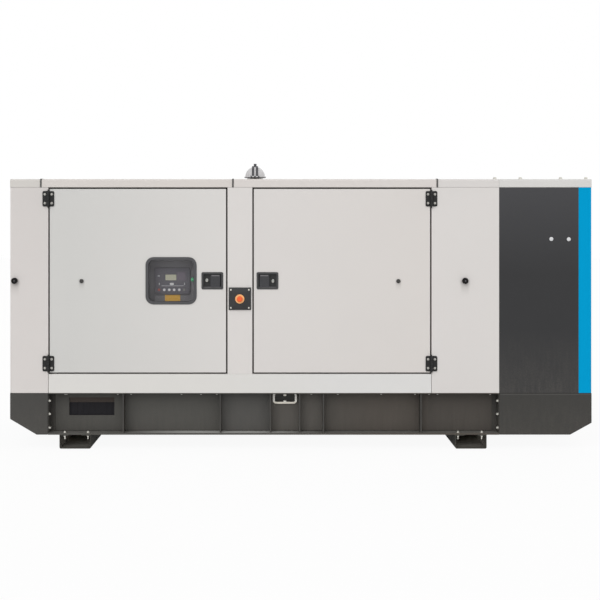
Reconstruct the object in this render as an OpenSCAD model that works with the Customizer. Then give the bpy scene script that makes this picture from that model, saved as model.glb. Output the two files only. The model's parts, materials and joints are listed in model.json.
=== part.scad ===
// Canopied diesel generator set on a skid base with fork pockets.
// Millimetres. X runs along the set, the control side faces -Y, Z is up from the ground.

/* [Canopy] */
// Width over the side walls
canopy_w = 1640; // [1560:10:1900]
// Thickness of the lined wall panels
wall_t = 50; // [44:1:60]
// Width of the corner panel at the alternator end
corner_panel_w = 302; // [296:1:400]
// Return of the corner panel round the end
corner_return = 150; // [100:5:220]
// Width of each door leaf
door_w = 1394; // [1200:2:1600]
// Height of each door leaf
door_h = 1452; // [1300:2:1600]
// Gap round a door leaf
door_gap = 12; // [8:1:18]
// Width of the post between the doors
centre_post_w = 196; // [184:2:260]
// Width of the light panel beside the engine door
side_panel_w = 534; // [400:2:700]
// Width of the dark panel at the radiator
radiator_panel_w = 628; // [500:2:800]
// Width of the blue corner post
corner_post_w = 104; // [80:1:160]
// Return of the blue corner post round the end
post_return = 104; // [80:1:160]
// Radius of the folded canopy corners
corner_r = 16; // [6:1:30]
// Height of the sill under the doors
sill_h = 150; // [110:5:220]
// Seam at each end of the sill
sill_seam = 3; // [1:0.5:6]

/* [Roof] */
// Height of the roof sections
roof_h = 66; // [50:1:90]
// Radius of the roof's long top edges
roof_r = 14; // [4:1:24]
// Width of the sealed joints between roof sections
roof_joint = 11; // [6:1:20]
// Height of the joints' seals above the roof skin
seal_up = 4; // [1:0.5:8]
// End joint, measured from the corner panel's inner edge
joint_end = 58; // [40:1:120]
// Middle joint, measured from the post's left edge
joint_post = 43; // [20:1:120]
// Joint over the side panel, measured from its left edge
joint_side = 45; // [20:1:160]

/* [Base] */
// Height of the fork pockets that are the feet
pocket_h = 110; // [90:1:160]
// Width of a fork pocket
pocket_w = 248; // [200:1:320]
// Plate of a fork pocket
pocket_t = 8; // [5:1:12]
// Bend at a fork pocket's bottom corners
pocket_r = 12; // [4:1:20]
// Width of the pocket's in-turned top lips
pocket_lip = 72; // [50:1:90]
// Left pocket's centre from the left end
pocket_left = 515; // [430:1:700]
// Right pocket's centre from the right end
pocket_right = 955; // [860:1:1200]
// Height of the base rails
base_h = 330; // [280:1:400]
// Depth of the rail's web behind its flange edges
rail_recess = 95; // [60:1:140]
// Thickness of the rail's top flange
flange_t = 7; // [5:1:16]
// Thickness of the rail's bottom flange
sole_t = 14; // [7:1:20]
// Thickness of the rail's web
web_t = 10; // [6:1:16]
// Thickness of the rail's gussets
gusset_t = 11; // [6:1:16]
// Step of the gussets behind the flange edges
gusset_inset = 8; // [2:1:30]
// Gusset past the cable opening, from the rail's left end
gusset_cable = 594; // [560:1:640]
// Gusset left of the post, from the post's left edge
gusset_post = 58; // [20:1:120]
// First gusset right of the post, from its right edge
gusset_drain_l = 143; // [100:1:150]
// Second gusset right of the post, from its right edge
gusset_drain_r = 374; // [366:1:420]
// Third gusset right of the post, from its right edge
gusset_bay = 563; // [480:1:700]
// Last gusset, from the side panel's left edge
gusset_side = 83; // [40:1:160]
// Length of the left end skirt
skirt_left = 300; // [260:1:400]
// Length of the left skirt's sloped underside
slope_left_l = 210; // [100:1:240]
// Height of the left skirt's sloped underside
slope_left_h = 124; // [60:1:200]
// Length of the right skirt's sloped underside
slope_right_l = 170; // [100:1:300]
// Height of the right skirt's sloped underside
slope_right_h = 94; // [60:1:200]
// Width of the cable opening
cable_w = 360; // [200:1:400]
// Height of the cable opening
cable_h = 142; // [80:1:180]
// Cable opening from the rail's left end
cable_x = 152; // [60:1:180]
// Cable opening above the rail's underside
cable_z = 139; // [30:1:140]
// Width over the drain opening's rim
drain_w = 195; // [140:1:210]
// Height over the drain opening's rim
drain_h = 90; // [60:1:140]
// Bar of the drain opening's rim
drain_rim_t = 18; // [8:1:24]
// Drain opening's centre from the right edge of the post
drain_x = 258; // [220:1:270]
// Length of the cable well ahead of the fuel tank
well_l = 620; // [560:5:700]
// Height of the fuel tank above the rails' underside
tank_z = 50; // [20:1:120]
// Plate under the cable well
well_t = 8; // [4:1:12]
// Width of the angle bars at the skirts
angle_w = 42; // [30:1:60]
// Thickness of the angle bars
angle_t = 5; // [4:1:12]

/* [Doors] */
// Thickness of a door leaf
door_t = 44; // [36:1:50]
// Width of the leaf's folded edge round its lining
leaf_edge = 46; // [34:1:70]
// Step of the lining below the folded edge
lining_step = 7; // [2:1:8]
// Width of the frame behind the door gap
frame_w = 60; // [50:1:80]
// Depth of the frame
frame_d = 30; // [15:1:50]
// Overlap of the frame behind the leaf
frame_lap = 28; // [16:1:32]
// Height of a hinge
hinge_h = 122; // [90:1:160]
// Width of one hinge leaf from the pin
hinge_leaf_w = 46; // [34:1:60]
// Corner radius of a hinge leaf
hinge_r = 12; // [4:1:16]
// Hinge pin past the edge of the door frame
pin_x = 2; // [0:0.5:6]
// Thickness of a hinge leaf
hinge_leaf_t = 6; // [4:1:8]
// Radius of the hinge knuckles
knuckle_r = 11; // [8:0.5:12]
// Radius of the hinge pin
pin_r = 4; // [2.5:0.5:6]
// Length of the pin past each end of the hinge
pin_tip = 11; // [3:1:20]
// Hinge pin in front of the wall
hinge_stand = 15; // [13:0.5:22]
// Lower hinge's centre above the leaf's lower edge
hinge_low = 71; // [70:1:300]
// Upper hinge's centre below the leaf's upper edge
hinge_high = 78; // [75:1:300]
// Running clearance of pins and stems
run_gap = 0.3; // [0.2:0.05:0.6]
// Axial gap between hinge knuckles
knuckle_gap = 1; // [0.5:0.5:3]
// Wall buffer's distance from the hinge pin
buffer_x = 266; // [150:1:272]
// Radius of a wall buffer
buffer_r = 24; // [15:1:28]
// Length of a wall buffer
buffer_l = 26; // [12:1:30]

/* [Window] */
// Width of the control window's bezel
bezel_w = 404; // [300:2:480]
// Height of the control window's bezel
bezel_h = 374; // [280:2:440]
// Corner radius of the bezel
bezel_r = 62; // [30:1:80]
// Border of the bezel round the glazing
bezel_b = 24; // [16:1:34]
// Flange of the bezel over the door skin
bezel_flange = 10; // [6:1:14]
// Height of the bezel above the door skin
bezel_up = 7; // [3:1:12]
// Thickness of the clear pane
pane_t = 6; // [3:1:10]
// Window's centre from the leaf's latch edge
window_x = 434; // [420:1:700]

/* [Latches] */
// Width of the latch pan's flange
latch_w = 172; // [150:1:200]
// Height of the latch pan's flange
latch_h = 136; // [120:1:170]
// Latch pan's flange from the leaf's edge
latch_inset = 22; // [10:1:40]
// Corner radius of the latch flange
latch_r = 12; // [4:1:20]
// Height of the latch flange above the door skin
latch_up = 5; // [3:1:8]
// Border of the latch flange round the pan
latch_b = 15; // [8:1:20]
// Depth of the latch pan behind the door skin
latch_d = 28; // [20:1:28]
// Wall of the latch pan
latch_t = 3; // [2:0.5:5]
// Gap above and below the paddle
paddle_gap = 6; // [5:0.5:10]
// Width of the paddle from its pin
paddle_w = 70; // [55:1:80]
// Thickness of the paddle
paddle_t = 5; // [3:0.5:7]
// Radius of the paddle's pin
paddle_pin_r = 3; // [2:0.5:4]
// Radius of the paddle's knuckle
paddle_knuckle_r = 6.5; // [5:0.5:8]
// Paddle's pin from the pan's side wall
paddle_pin_x = 14; // [12:0.5:20]
// Radius of the lock cylinder
lock_r = 12; // [8:0.5:12]
// Lock cylinder's centre from the pan's side wall
lock_x = 28; // [18:0.5:29]

/* [Emergency stop] */
// Width of the stop's box
stop_w = 176; // [120:2:184]
// Height of the stop's box
stop_h = 178; // [120:2:220]
// Edge of the box before its sloped sides
stop_edge = 8; // [4:1:16]
// Depth of the box with its sloped sides
stop_d = 30; // [22:1:40]
// Run of the sloped sides
stop_slope = 34; // [10:1:40]
// Box centre below the doors' middle
stop_drop = 142; // [100:1:260]
// Radius of the ring round the button
ring_r = 36; // [30:1:44]
// Thickness of the ring
ring_t = 5; // [2:1:8]
// Radius of the mushroom button
button_r = 22.5; // [16:0.5:28]
// Radius of the button's stem
stem_r = 10; // [6:0.5:12]
// Room under the button's head
button_room = 12; // [10:1:20]
// Height of the button's head
button_h = 14; // [10:1:20]
// Depth of the stem in the box
stem_in = 8; // [5:1:10]

/* [Exhaust] */
// Outlet's distance from the post's right edge
outlet_x = 7; // [0:1:200]
// Outer radius of the outlet pipe
pipe_r = 70; // [50:1:80]
// Wall of the outlet pipe
pipe_t = 5; // [3:1:8]
// Pipe's height above the roof
pipe_up = 34; // [20:1:80]
// Width of the roof collar past the rain cap
collar_w = 34; // [30:1:50]
// Thickness of the roof collar
collar_t = 6; // [3:1:10]
// Radius of the rain cap's rim
cap_r = 92; // [86:1:104]
// Step of the rim outside the cap's dome
cap_lip = 8; // [2:1:10]
// Thickness of the rain cap's sheet
cap_t = 4; // [2:0.5:6]
// Gap between the cap's rim and the pipe
cap_gap = 6; // [5:1:12]
// Height of the cap's rim
cap_rim = 12; // [8:1:16]
// Width of a yoke strap
strap_w = 18; // [12:1:22]
// Gap between the yoke straps
strap_gap = 16; // [10:1:30]
// Thickness of the yoke straps
strap_t = 6; // [4:1:10]
// Radius of the knob
knob_r = 12; // [8:1:16]
// Height of the knob
knob_h = 29; // [20:1:60]
// Radius of the cap's hinge pin
cap_pin_r = 5; // [3:0.5:7]
// Thickness of the hinge lugs
lug_t = 8; // [5:1:12]

/* [Control cubicle] */
// Width of the cubicle
cubicle_w = 540; // [480:5:700]
// Height of the cubicle
cubicle_h = 640; // [520:5:800]
// Depth of the cubicle
cubicle_d = 200; // [150:5:240]
// Face of the cubicle behind the wall's inner face
cubicle_back = 70; // [60:1:110]
// Width of the legs
leg_w = 60; // [40:1:80]
// Width of the controller
controller_w = 282; // [200:2:300]
// Height of the controller
controller_h = 210; // [150:2:240]
// Depth of the controller in front of the cubicle
controller_d = 16; // [8:1:30]
// Corner radius of the controller
controller_r = 12; // [4:1:20]
// Controller's centre below the window's
controller_drop = 7; // [0:1:20]
// Width of the controller's screen
screen_w = 88; // [60:1:120]
// Height of the controller's screen
screen_h = 46; // [30:1:60]
// Screen's centre left of the controller's
screen_x = 12; // [0:1:40]
// Screen's centre above the controller's
screen_z = 28; // [10:1:50]
// Depth of the screen's recess
screen_d = 3; // [1:0.5:6]

/* [Machine] */
// Height of the shaft above the canopy floor
shaft_h = 560; // [520:5:640]
// Spacing of the bed's beams from the centre line
beam_y = 330; // [300:5:400]
// Width of the bed's beams
beam_w = 90; // [70:1:110]
// Height of the bed's beams
beam_h = 100; // [80:1:140]
// Length of the bed past the fuel tank
bed_end = 90; // [60:5:140]
// Radius of the alternator's barrel
alternator_r = 370; // [330:5:390]
// Length of the alternator's barrel
alternator_l = 910; // [800:5:960]
// Length of the alternator's end cover
end_cover_l = 60; // [40:5:100]
// Step of the end cover and the coupling below the barrel
barrel_step = 42; // [20:1:60]
// Number of ribs on each side of the barrel
barrel_ribs = 7; // [3:1:9]
// Height of the barrel's ribs
rib_h = 14; // [6:1:20]
// Length of the alternator's terminal box
terminal_l = 600; // [400:5:700]
// Width of the terminal box
terminal_w = 460; // [360:5:560]
// Height of the terminal box above the barrel
terminal_h = 220; // [150:5:300]
// Length of the coupling to the flywheel housing
coupling_l = 180; // [120:5:240]
// Length of the flywheel housing
flywheel_l = 150; // [100:5:200]
// Number of cylinders
cylinders = 6; // [4:1:8]
// Pitch of the cylinders
cylinder_pitch = 205; // [150:1:210]
// Width of the engine block
block_w = 460; // [400:5:520]
// Height of the engine block
block_h = 440; // [380:5:480]
// Shaft above the engine block's underside
crank_h = 200; // [160:5:220]
// Depth of the oil pan
oil_pan_d = 200; // [140:5:210]
// Height of the cylinder heads
head_h = 110; // [80:1:140]
// Width of the cylinder heads
head_w = 360; // [300:5:400]
// Height of the valve covers
cover_h = 90; // [60:1:110]
// Width of the valve covers
cover_w = 220; // [160:5:260]
// Gap between the heads
head_gap = 14; // [8:1:24]
// Spacing of the manifolds from the centre line
manifold_y = 275; // [255:5:300]
// Radius of the manifolds
manifold_r = 54; // [40:1:58]
// Radius of the manifolds' runners
runner_r = 34; // [24:1:38]
// Radius of the oil filters
filter_r = 54; // [40:1:60]
// Height of the oil filters
filter_h = 240; // [160:5:280]
// Depth of the timing cover
timing_d = 60; // [40:1:80]
// Radius of the vibration damper
damper_r = 130; // [90:5:150]
// Length of an engine foot
foot_l = 160; // [120:5:200]
// Thickness of an engine foot's arm
foot_t = 60; // [40:1:80]
// Radius of the cooling fan
fan_r = 480; // [400:5:500]
// Number of fan blades
fan_blades = 8; // [5:1:8]
// Radius of the fan's hub
fan_hub_r = 110; // [90:5:140]
// Width of a fan blade
fan_blade_w = 70; // [50:1:90]
// Fan's centre above the shaft
fan_rise = 150; // [100:5:160]
// Fan ahead of the engine block
fan_ahead = 280; // [240:5:340]
// Clearance round the fan
fan_gap = 25; // [10:1:40]
// Radiator core ahead of the fan
core_ahead = 150; // [120:5:200]
// Radiator's near face from the right end
radiator_x = 810; // [760:5:820]
// Depth of the radiator
radiator_d = 180; // [140:5:220]
// Width of the radiator
radiator_w = 1380; // [1200:10:1400]
// Height of the radiator
radiator_h = 1360; // [1200:10:1400]
// Border of the radiator round its core
radiator_b = 60; // [40:5:90]
// Depth of the core behind the border
core_d = 25; // [10:1:40]
// Length of the fan's shroud
shroud_l = 230; // [210:5:260]
// Plate of the shroud
shroud_t = 16; // [10:1:20]
// Radius of the silencer
silencer_r = 190; // [150:5:200]
// Length of the silencer
silencer_l = 1150; // [900:10:1300]
// Silencer below the roof
silencer_drop = 80; // [60:5:120]
// Silencer's near end from the outlet
silencer_x = 125; // [100:5:200]
// Radius of the pipe from the manifold
down_r = 50; // [40:1:53]
// Width of the silencer's straps
hanger_w = 50; // [30:1:70]
// Hangers from the silencer's ends
hanger_x = 180; // [120:5:260]

/* [End walls] */
// Width of the inlet louvre
louvre_w = 1000; // [800:10:1200]
// Height of the inlet louvre
louvre_h = 1040; // [700:10:1300]
// Depth of the louvre and the grille in their walls
louvre_d = 38; // [24:1:40]
// Border of the louvre and the grille
louvre_b = 34; // [20:1:60]
// Number of louvre blades
blades = 11; // [6:1:16]
// Thickness of a louvre blade
blade_t = 4; // [3:0.5:8]
// Width of the discharge grille
grille_w = 1180; // [900:10:1300]
// Height of the discharge grille
grille_h = 1300; // [900:10:1400]
// Number of grille bars
grille_bars = 23; // [11:2:31]
// Thickness of a grille bar
bar_t = 8; // [5:1:12]

/* [Hidden] */
$fn = 48;
over = 1;
x_length = corner_panel_w + 2 * door_w + centre_post_w + side_panel_w + radiator_panel_w
    + corner_post_w + 4 * door_gap;
x_left = -x_length / 2;
x_frame = x_left + corner_panel_w;
x_door_l = x_frame + door_gap;
x_post = x_door_l + door_w + door_gap;
x_post_end = x_post + centre_post_w;
x_door_r = x_post_end + door_gap;
x_side = x_door_r + door_w + door_gap;
x_radiator = x_side + side_panel_w;
x_corner = x_radiator + radiator_panel_w;
x_right = x_corner + corner_post_w;
x_rail = x_left + skirt_left;
y_face = -canopy_w / 2;
y_inner = y_face + wall_t;
y_web = y_face + rail_recess;
y_bay = -y_web - web_t;
z_floor = pocket_h + base_h;
z_sole = pocket_h + sole_t;
bay_h = base_h - flange_t - sole_t;
z_sill = z_floor + sill_h;
z_door = z_sill + door_gap;
z_mid = z_door + door_h / 2;
z_roof = z_door + door_h + door_gap;
z_top = z_roof + roof_h;
wall_h = z_roof - z_floor;
y_pin = y_face - hinge_stand;
x_pin_l = x_frame + pin_x;
x_pin_r = x_side - pin_x;
hinge_zs = [z_door + hinge_low, z_door + door_h - hinge_high];
roof_xs = [x_frame - joint_end, x_post + joint_post, x_side + joint_side];
gusset_xs = [x_rail + gusset_cable, x_post - gusset_post, x_post_end + gusset_drain_l,
    x_post_end + gusset_drain_r, x_post_end + gusset_bay, x_side - gusset_side];
x_drain = x_post_end + drain_x;
x_tank = x_rail + well_l;
x_outlet = x_post_end + outlet_x;
z_pipe = z_top + pipe_up;
z_cap = z_pipe + cap_gap;
dome_r = cap_r - cap_lip;
collar_r = cap_r + collar_w;
y_cap_pin = -cap_r - 14;
z_cap_pin = z_cap + cap_rim / 2;
pan_w = latch_w - 2 * latch_b;
pan_h = latch_h - 2 * latch_b;
x_latch_l = x_post - door_gap - latch_inset - latch_w / 2;
x_latch_r = x_door_r + latch_inset + latch_w / 2;
paddle_pin = pan_w / 2 - paddle_pin_x;
y_paddle_pin = y_face + 4;
x_window = x_post - door_gap - window_x;
x_stop = x_post + centre_post_w / 2;
z_stop = z_mid - stop_drop;
y_stop = y_face - stop_d;
y_button = y_stop - ring_t - button_room;
z_shaft = z_floor + shaft_h;
z_bed = z_floor + beam_h;
block_l = cylinders * cylinder_pitch + 3 * head_gap;
x_core = x_right - radiator_x;
x_fan = x_core - core_ahead;
x_block = x_fan - fan_ahead - block_l;
x_flywheel = x_block - flywheel_l;
x_alternator = x_flywheel - coupling_l - alternator_l;
z_block = z_shaft - crank_h;
z_deck = z_block + block_h;
z_manifold = z_deck + head_h / 2;
z_fan = z_shaft + fan_rise;
z_silencer = z_roof - silencer_r - silencer_drop;
x_silencer = x_outlet + silencer_x;
x_down = x_block + block_l / 2;

function arc(c, r, a0, a1, n = 5) =
    [for (i = [0:n]) c + r * [cos(a0 + (a1 - a0) * i / n), sin(a0 + (a1 - a0) * i / n)]];
function round_rect(w, h, r) = concat(
    arc([w / 2 - r, h / 2 - r], r, 0, 90), arc([r - w / 2, h / 2 - r], r, 90, 180),
    arc([r - w / 2, r - h / 2], r, 180, 270), arc([w / 2 - r, r - h / 2], r, 270, 360));

module both_sides() {
    children();
    mirror([0, 1, 0]) children();
}

// A profile drawn in Y and Z, run along X.
module run_x(x0, x1) {
    translate([x0, 0, 0]) rotate([90, 0, 90]) linear_extrude(x1 - x0) children();
}

// A profile drawn in X and Z, run along Y.
module run_y(y0, y1) {
    translate([0, y1, 0]) rotate([90, 0, 0]) linear_extrude(y1 - y0) children();
}

// A round bar along X.
module bar_x(x0, x1, y, z, r) {
    translate([x0, y, z]) rotate([0, 90, 0]) cylinder(r = r, h = x1 - x0);
}

// A round bar along Y.
module bar_y(x, y0, y1, z, r) {
    translate([x, y0, z]) rotate([-90, 0, 0]) cylinder(r = r, h = y1 - y0);
}

module rail() {
    run_x(x_rail, x_radiator) polygon([[y_face, pocket_h], [y_web + web_t, pocket_h],
        [y_web + web_t, z_floor], [y_face, z_floor], [y_face, z_floor - flange_t],
        [y_web, z_floor - flange_t], [y_web, z_sole], [y_face, z_sole]]);
    for (x = gusset_xs)
        translate([x - gusset_t / 2, y_face + gusset_inset, z_sole])
            cube([gusset_t, rail_recess - gusset_inset, bay_h]);
}

module base_rail_front() {
    color("#4c4b48") difference() {
        rail();
        translate([x_rail + cable_x, y_web - over, pocket_h + cable_z])
            cube([cable_w, web_t + 2 * over, cable_h]);
        translate([0, y_web - over, 0]) run_y(0, web_t + 2 * over)
            translate([x_drain, z_floor - flange_t - drain_h / 2])
            polygon(round_rect(drain_w - 2 * drain_rim_t, drain_h - 2 * drain_rim_t, 8));
    }
}

module base_rail_back() {
    color("#4c4b48") mirror([0, 1, 0]) rail();
}

module drain_rim() {
    color("#d8d2c4") translate([x_drain, 0, z_floor - flange_t - drain_h / 2])
        run_y(y_web - drain_rim_t, y_web) difference() {
            polygon(round_rect(drain_w, drain_h, 26));
            polygon(round_rect(drain_w - 2 * drain_rim_t, drain_h - 2 * drain_rim_t, 8));
        }
}

module base_ends() {
    color("#4c4b48") {
        run_y(y_face, -y_face) polygon([[x_left, z_floor], [x_left, pocket_h + slope_left_h],
            [x_left + slope_left_l, pocket_h], [x_rail, pocket_h], [x_rail, z_floor]]);
        run_y(y_face, -y_face) polygon([[x_radiator, pocket_h],
            [x_right - slope_right_l, pocket_h], [x_right, pocket_h + slope_right_h],
            [x_right, z_floor], [x_radiator, z_floor]]);
    }
}

module fork_pocket(x) {
    w = pocket_w / 2;
    color("#3d3c3a") translate([x, 0, 0]) run_y(y_face, -y_face) polygon(concat(
        arc([pocket_r - w, pocket_r], pocket_r, 180, 270),
        arc([w - pocket_r, pocket_r], pocket_r, 270, 360), [
        [w, pocket_h], [w - pocket_lip, pocket_h], [w - pocket_lip, pocket_h - pocket_t],
        [w - pocket_t, pocket_h - pocket_t], [w - pocket_t, pocket_t], [pocket_t - w, pocket_t],
        [pocket_t - w, pocket_h - pocket_t], [pocket_lip - w, pocket_h - pocket_t],
        [pocket_lip - w, pocket_h], [-w, pocket_h]]));
}

module fork_pocket_left() {
    fork_pocket(x_left + pocket_left);
}

module fork_pocket_right() {
    fork_pocket(x_right - pocket_right);
}

module fuel_tank() {
    color("#383836") translate([x_tank, -y_bay, pocket_h + tank_z])
        cube([x_radiator - x_tank, 2 * y_bay, base_h - tank_z]);
}

module well_plate() {
    color("#3d3c3a") translate([x_rail, -y_bay, pocket_h])
        cube([x_tank - x_rail, 2 * y_bay, well_t]);
}

// An angle bar standing in a rail's channel, from the corner of skirt and web.
module joint_angle(way) {
    translate([0, 0, z_sole]) linear_extrude(bay_h)
        polygon([[0, y_web], [way * angle_w, y_web], [way * angle_w, y_web - angle_t],
            [way * angle_t, y_web - angle_t], [way * angle_t, y_face + gusset_inset],
            [0, y_face + gusset_inset]]);
}

module joint_angles() {
    color("#2b2b2a") both_sides() {
        translate([x_rail, 0, 0]) joint_angle(1);
        translate([x_radiator, 0, 0]) joint_angle(-1);
    }
}

module machine_bed() {
    color("#2f2f2e") {
        both_sides() translate([x_tank - bed_end, -beam_y - beam_w / 2, z_floor])
            cube([x_core + radiator_d - x_tank + bed_end, beam_w, beam_h]);
        translate([x_tank - bed_end, -y_bay, z_floor - beam_h])
            cube([bed_end - run_gap, 2 * y_bay, beam_h]);
    }
}

module corner_panels() {
    color("#d6d3cf") both_sides() translate([0, 0, z_floor]) linear_extrude(wall_h)
        polygon(concat([[x_frame, y_face], [x_frame, y_inner], [x_left + wall_t, y_inner],
            [x_left + wall_t, y_face + corner_return], [x_left, y_face + corner_return]],
            arc([x_left + corner_r, y_face + corner_r], corner_r, 180, 270)));
}

module corner_posts() {
    color("#0a9bd2") both_sides() translate([0, 0, z_floor]) linear_extrude(wall_h)
        polygon(concat([[x_right, y_face + post_return], [x_right - wall_t, y_face + post_return],
            [x_right - wall_t, y_inner], [x_corner, y_inner], [x_corner, y_face]],
            arc([x_right - corner_r, y_face + corner_r], corner_r, 270, 360)));
}

// A wall panel and its copy on the back.
module panel_pair(x0, x1, z0) {
    both_sides() translate([x0, y_face, z0]) cube([x1 - x0, wall_t, z_roof - z0]);
}

module centre_posts() {
    color("#d6d3cf") panel_pair(x_post, x_post_end, z_sill);
}

module side_panels() {
    color("#d6d3cf") panel_pair(x_side, x_radiator, z_floor);
}

module radiator_panels() {
    color("#424244") panel_pair(x_radiator, x_corner, z_floor);
}

module door_sills() {
    color("#d6d3cf") both_sides() translate([x_frame + sill_seam, y_face, z_floor])
        cube([x_side - x_frame - 2 * sill_seam, wall_t, sill_h]);
}

// The recess of a louvre or grille in an end wall, and its frame's border.
module end_recess(w, h) {
    translate([0, -w / 2, z_floor + (wall_h - h) / 2]) cube([louvre_d + over, w, h]);
}

module end_wall_left() {
    w = canopy_w - 2 * corner_return;
    color("#d6d3cf") translate([x_left, 0, 0]) difference() {
        translate([0, -w / 2, z_floor]) cube([wall_t, w, wall_h]);
        translate([-over, 0, 0]) end_recess(louvre_w, louvre_h);
    }
}

module inlet_louvre() {
    pitch = (louvre_h - 2 * louvre_b) / blades;
    color("#c4c1bd") translate([x_left, 0, z_floor + (wall_h - louvre_h) / 2]) {
        difference() {
            translate([0, -louvre_w / 2, 0]) cube([louvre_d, louvre_w, louvre_h]);
            translate([-over, louvre_b - louvre_w / 2, louvre_b])
                cube([louvre_d + 2 * over, louvre_w - 2 * louvre_b, louvre_h - 2 * louvre_b]);
        }
        for (i = [0:blades - 1]) translate([0, 0, louvre_b + i * pitch])
            run_blade(louvre_d - 6, pitch * 0.72);
    }
}

// A blade that sheds rain: low at the outside, high inside.
module run_blade(depth, rise) {
    run_y(-louvre_w / 2 + louvre_b / 2, louvre_w / 2 - louvre_b / 2)
        polygon([[2, 2], [2 + blade_t, 2], [depth, rise], [depth - blade_t, rise]]);
}

module end_wall_right() {
    w = canopy_w - 2 * post_return;
    color("#424244") translate([x_right, 0, 0]) mirror([1, 0, 0]) difference() {
        translate([0, -w / 2, z_floor]) cube([wall_t, w, wall_h]);
        translate([-over, 0, 0]) end_recess(grille_w, grille_h);
    }
}

module outlet_grille() {
    inner_w = grille_w - 2 * louvre_b;
    pitch = inner_w / (grille_bars + 1);
    color("#2c2c2e") translate([x_right, 0, z_floor + (wall_h - grille_h) / 2])
        mirror([1, 0, 0]) {
            difference() {
                translate([0, -grille_w / 2, 0]) cube([louvre_d, grille_w, grille_h]);
                translate([-over, -inner_w / 2, louvre_b])
                    cube([louvre_d + 2 * over, inner_w, grille_h - 2 * louvre_b]);
            }
            for (i = [1:grille_bars]) translate([4, i * pitch - inner_w / 2 - bar_t / 2, 0])
                translate([0, 0, louvre_b / 2]) cube([bar_t * 2, bar_t, grille_h - louvre_b]);
            for (i = [1:3]) translate([4 + bar_t, -inner_w / 2 - louvre_b / 2,
                i * grille_h / 4 - bar_t]) cube([bar_t, inner_w + louvre_b, 2 * bar_t]);
        }
}

module back_doors() {
    color("#d6d3cf") mirror([0, 1, 0]) for (x = [[x_door_l, x_latch_l], [x_door_r, x_latch_r]])
        difference() {
            translate([x[0], y_face, z_door]) cube([door_w, wall_t, door_h]);
            latch_recess(x[1]);
        }
}

module back_liner() {
    color("#2a2a2b") translate([x_frame - 40, -y_inner - 20, z_floor + sill_h / 2])
        cube([x_side - x_frame + 80, 20, wall_h - sill_h / 2]);
}

// One roof section's cross-section, folded down at both sides, or a seal that stands above it.
module roof_section(x0, x1, up = 0) {
    run_x(x0, x1) polygon(concat([[-y_face + up, z_roof]],
        arc([-y_face - roof_r, z_top - roof_r], roof_r + up, 0, 90),
        arc([y_face + roof_r, z_top - roof_r], roof_r + up, 90, 180), [[y_face - up, z_roof]]));
}

module roof_end() {
    color("#d6d3cf") roof_section(x_left, roof_xs[0] - roof_joint / 2);
}

module roof_alternator() {
    color("#d6d3cf") roof_section(roof_xs[0] + roof_joint / 2, roof_xs[1] - roof_joint / 2);
}

module roof_engine() {
    color("#d6d3cf") difference() {
        roof_section(roof_xs[1] + roof_joint / 2, roof_xs[2] - roof_joint / 2);
        translate([x_outlet - pipe_r - cap_gap, -pipe_r - cap_gap, z_roof - over])
            cube([2 * (pipe_r + cap_gap), 2 * (pipe_r + cap_gap), roof_h + 2 * over]);
    }
}

module roof_bridge() {
    color("#d6d3cf") roof_section(roof_xs[2] + roof_joint / 2, x_radiator);
}

module roof_radiator() {
    color("#d6d3cf") roof_section(x_radiator, x_right);
}

module roof_seals() {
    color("#1b1b1b") for (x = roof_xs)
        roof_section(x - roof_joint / 2, x + roof_joint / 2, seal_up);
}

module exhaust_outlet() {
    h = z_pipe - z_silencer - silencer_r;
    color("#b9b7b2") translate([x_outlet, 0, z_silencer + silencer_r]) difference() {
        cylinder(r = pipe_r, h = h);
        translate([0, 0, -over]) cylinder(r = pipe_r - pipe_t, h = h + 2 * over);
    }
}

// The collar over the roof's opening, with the lugs and the pin of the rain cap.
module roof_collar() {
    lug_x = strap_gap / 2 + strap_w + 3;
    color("#b9b7b2") {
        translate([x_outlet, 0, z_top]) difference() {
            cylinder(r = collar_r, h = collar_t);
            translate([0, 0, -over]) cylinder(r = pipe_r + run_gap, h = collar_t + 2 * over);
        }
        for (s = [-1, 1]) translate([x_outlet + s * (lug_x + lug_t / 2) - lug_t / 2, 0, 0])
            run_x(0, lug_t) polygon(concat([[y_cap_pin + 12, z_top + collar_t / 2],
                [y_cap_pin + 10, z_cap_pin]], arc([y_cap_pin, z_cap_pin], 10, 0, 180),
                [[y_cap_pin - 10, z_top + collar_t / 2]]));
        bar_x(x_outlet - lug_x - lug_t / 2, x_outlet + lug_x + lug_t / 2, y_cap_pin, z_cap_pin,
            cap_pin_r);
    }
}

// The cap's turned body: a straight rim under a dome.
module cap_body(rim_r, rim_h, r, z0) {
    rotate_extrude() polygon(concat([[0, z0], [rim_r, z0], [rim_r, rim_h]],
        arc([0, cap_rim], r, 0, 90, 12)));
}

module exhaust_cap() {
    z_dome = z_cap + cap_rim;
    color("#cfccc6") difference() {
        union() {
            translate([x_outlet, 0, z_cap]) cap_body(cap_r, cap_rim, dome_r, 0);
            for (s = [-1, 1]) translate([s * (strap_gap + strap_w) / 2, 0, 0]) {
                intersection() {
                    bar_x(x_outlet - strap_w / 2, x_outlet + strap_w / 2, 0, z_dome,
                        dome_r + strap_t);
                    translate([x_outlet - strap_w, -2 * cap_r, z_dome])
                        cube([2 * strap_w, 2 * cap_r, 2 * cap_r]);
                }
                bar_x(x_outlet - strap_w / 2, x_outlet + strap_w / 2, y_cap_pin, z_cap_pin,
                    cap_pin_r + 4);
                translate([x_outlet - strap_w / 2, y_cap_pin, z_cap + 1])
                    cube([strap_w, 24, cap_rim - 1]);
            }
            translate([x_outlet, 0, z_dome + dome_r - cap_t]) cylinder(r = knob_r, h = knob_h);
        }
        translate([x_outlet, 0, z_cap])
            cap_body(cap_r - cap_t, cap_rim - cap_t, dome_r - cap_t, -over);
        bar_x(x_outlet - cap_r, x_outlet + cap_r, y_cap_pin, z_cap_pin, cap_pin_r + run_gap);
    }
}

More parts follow.
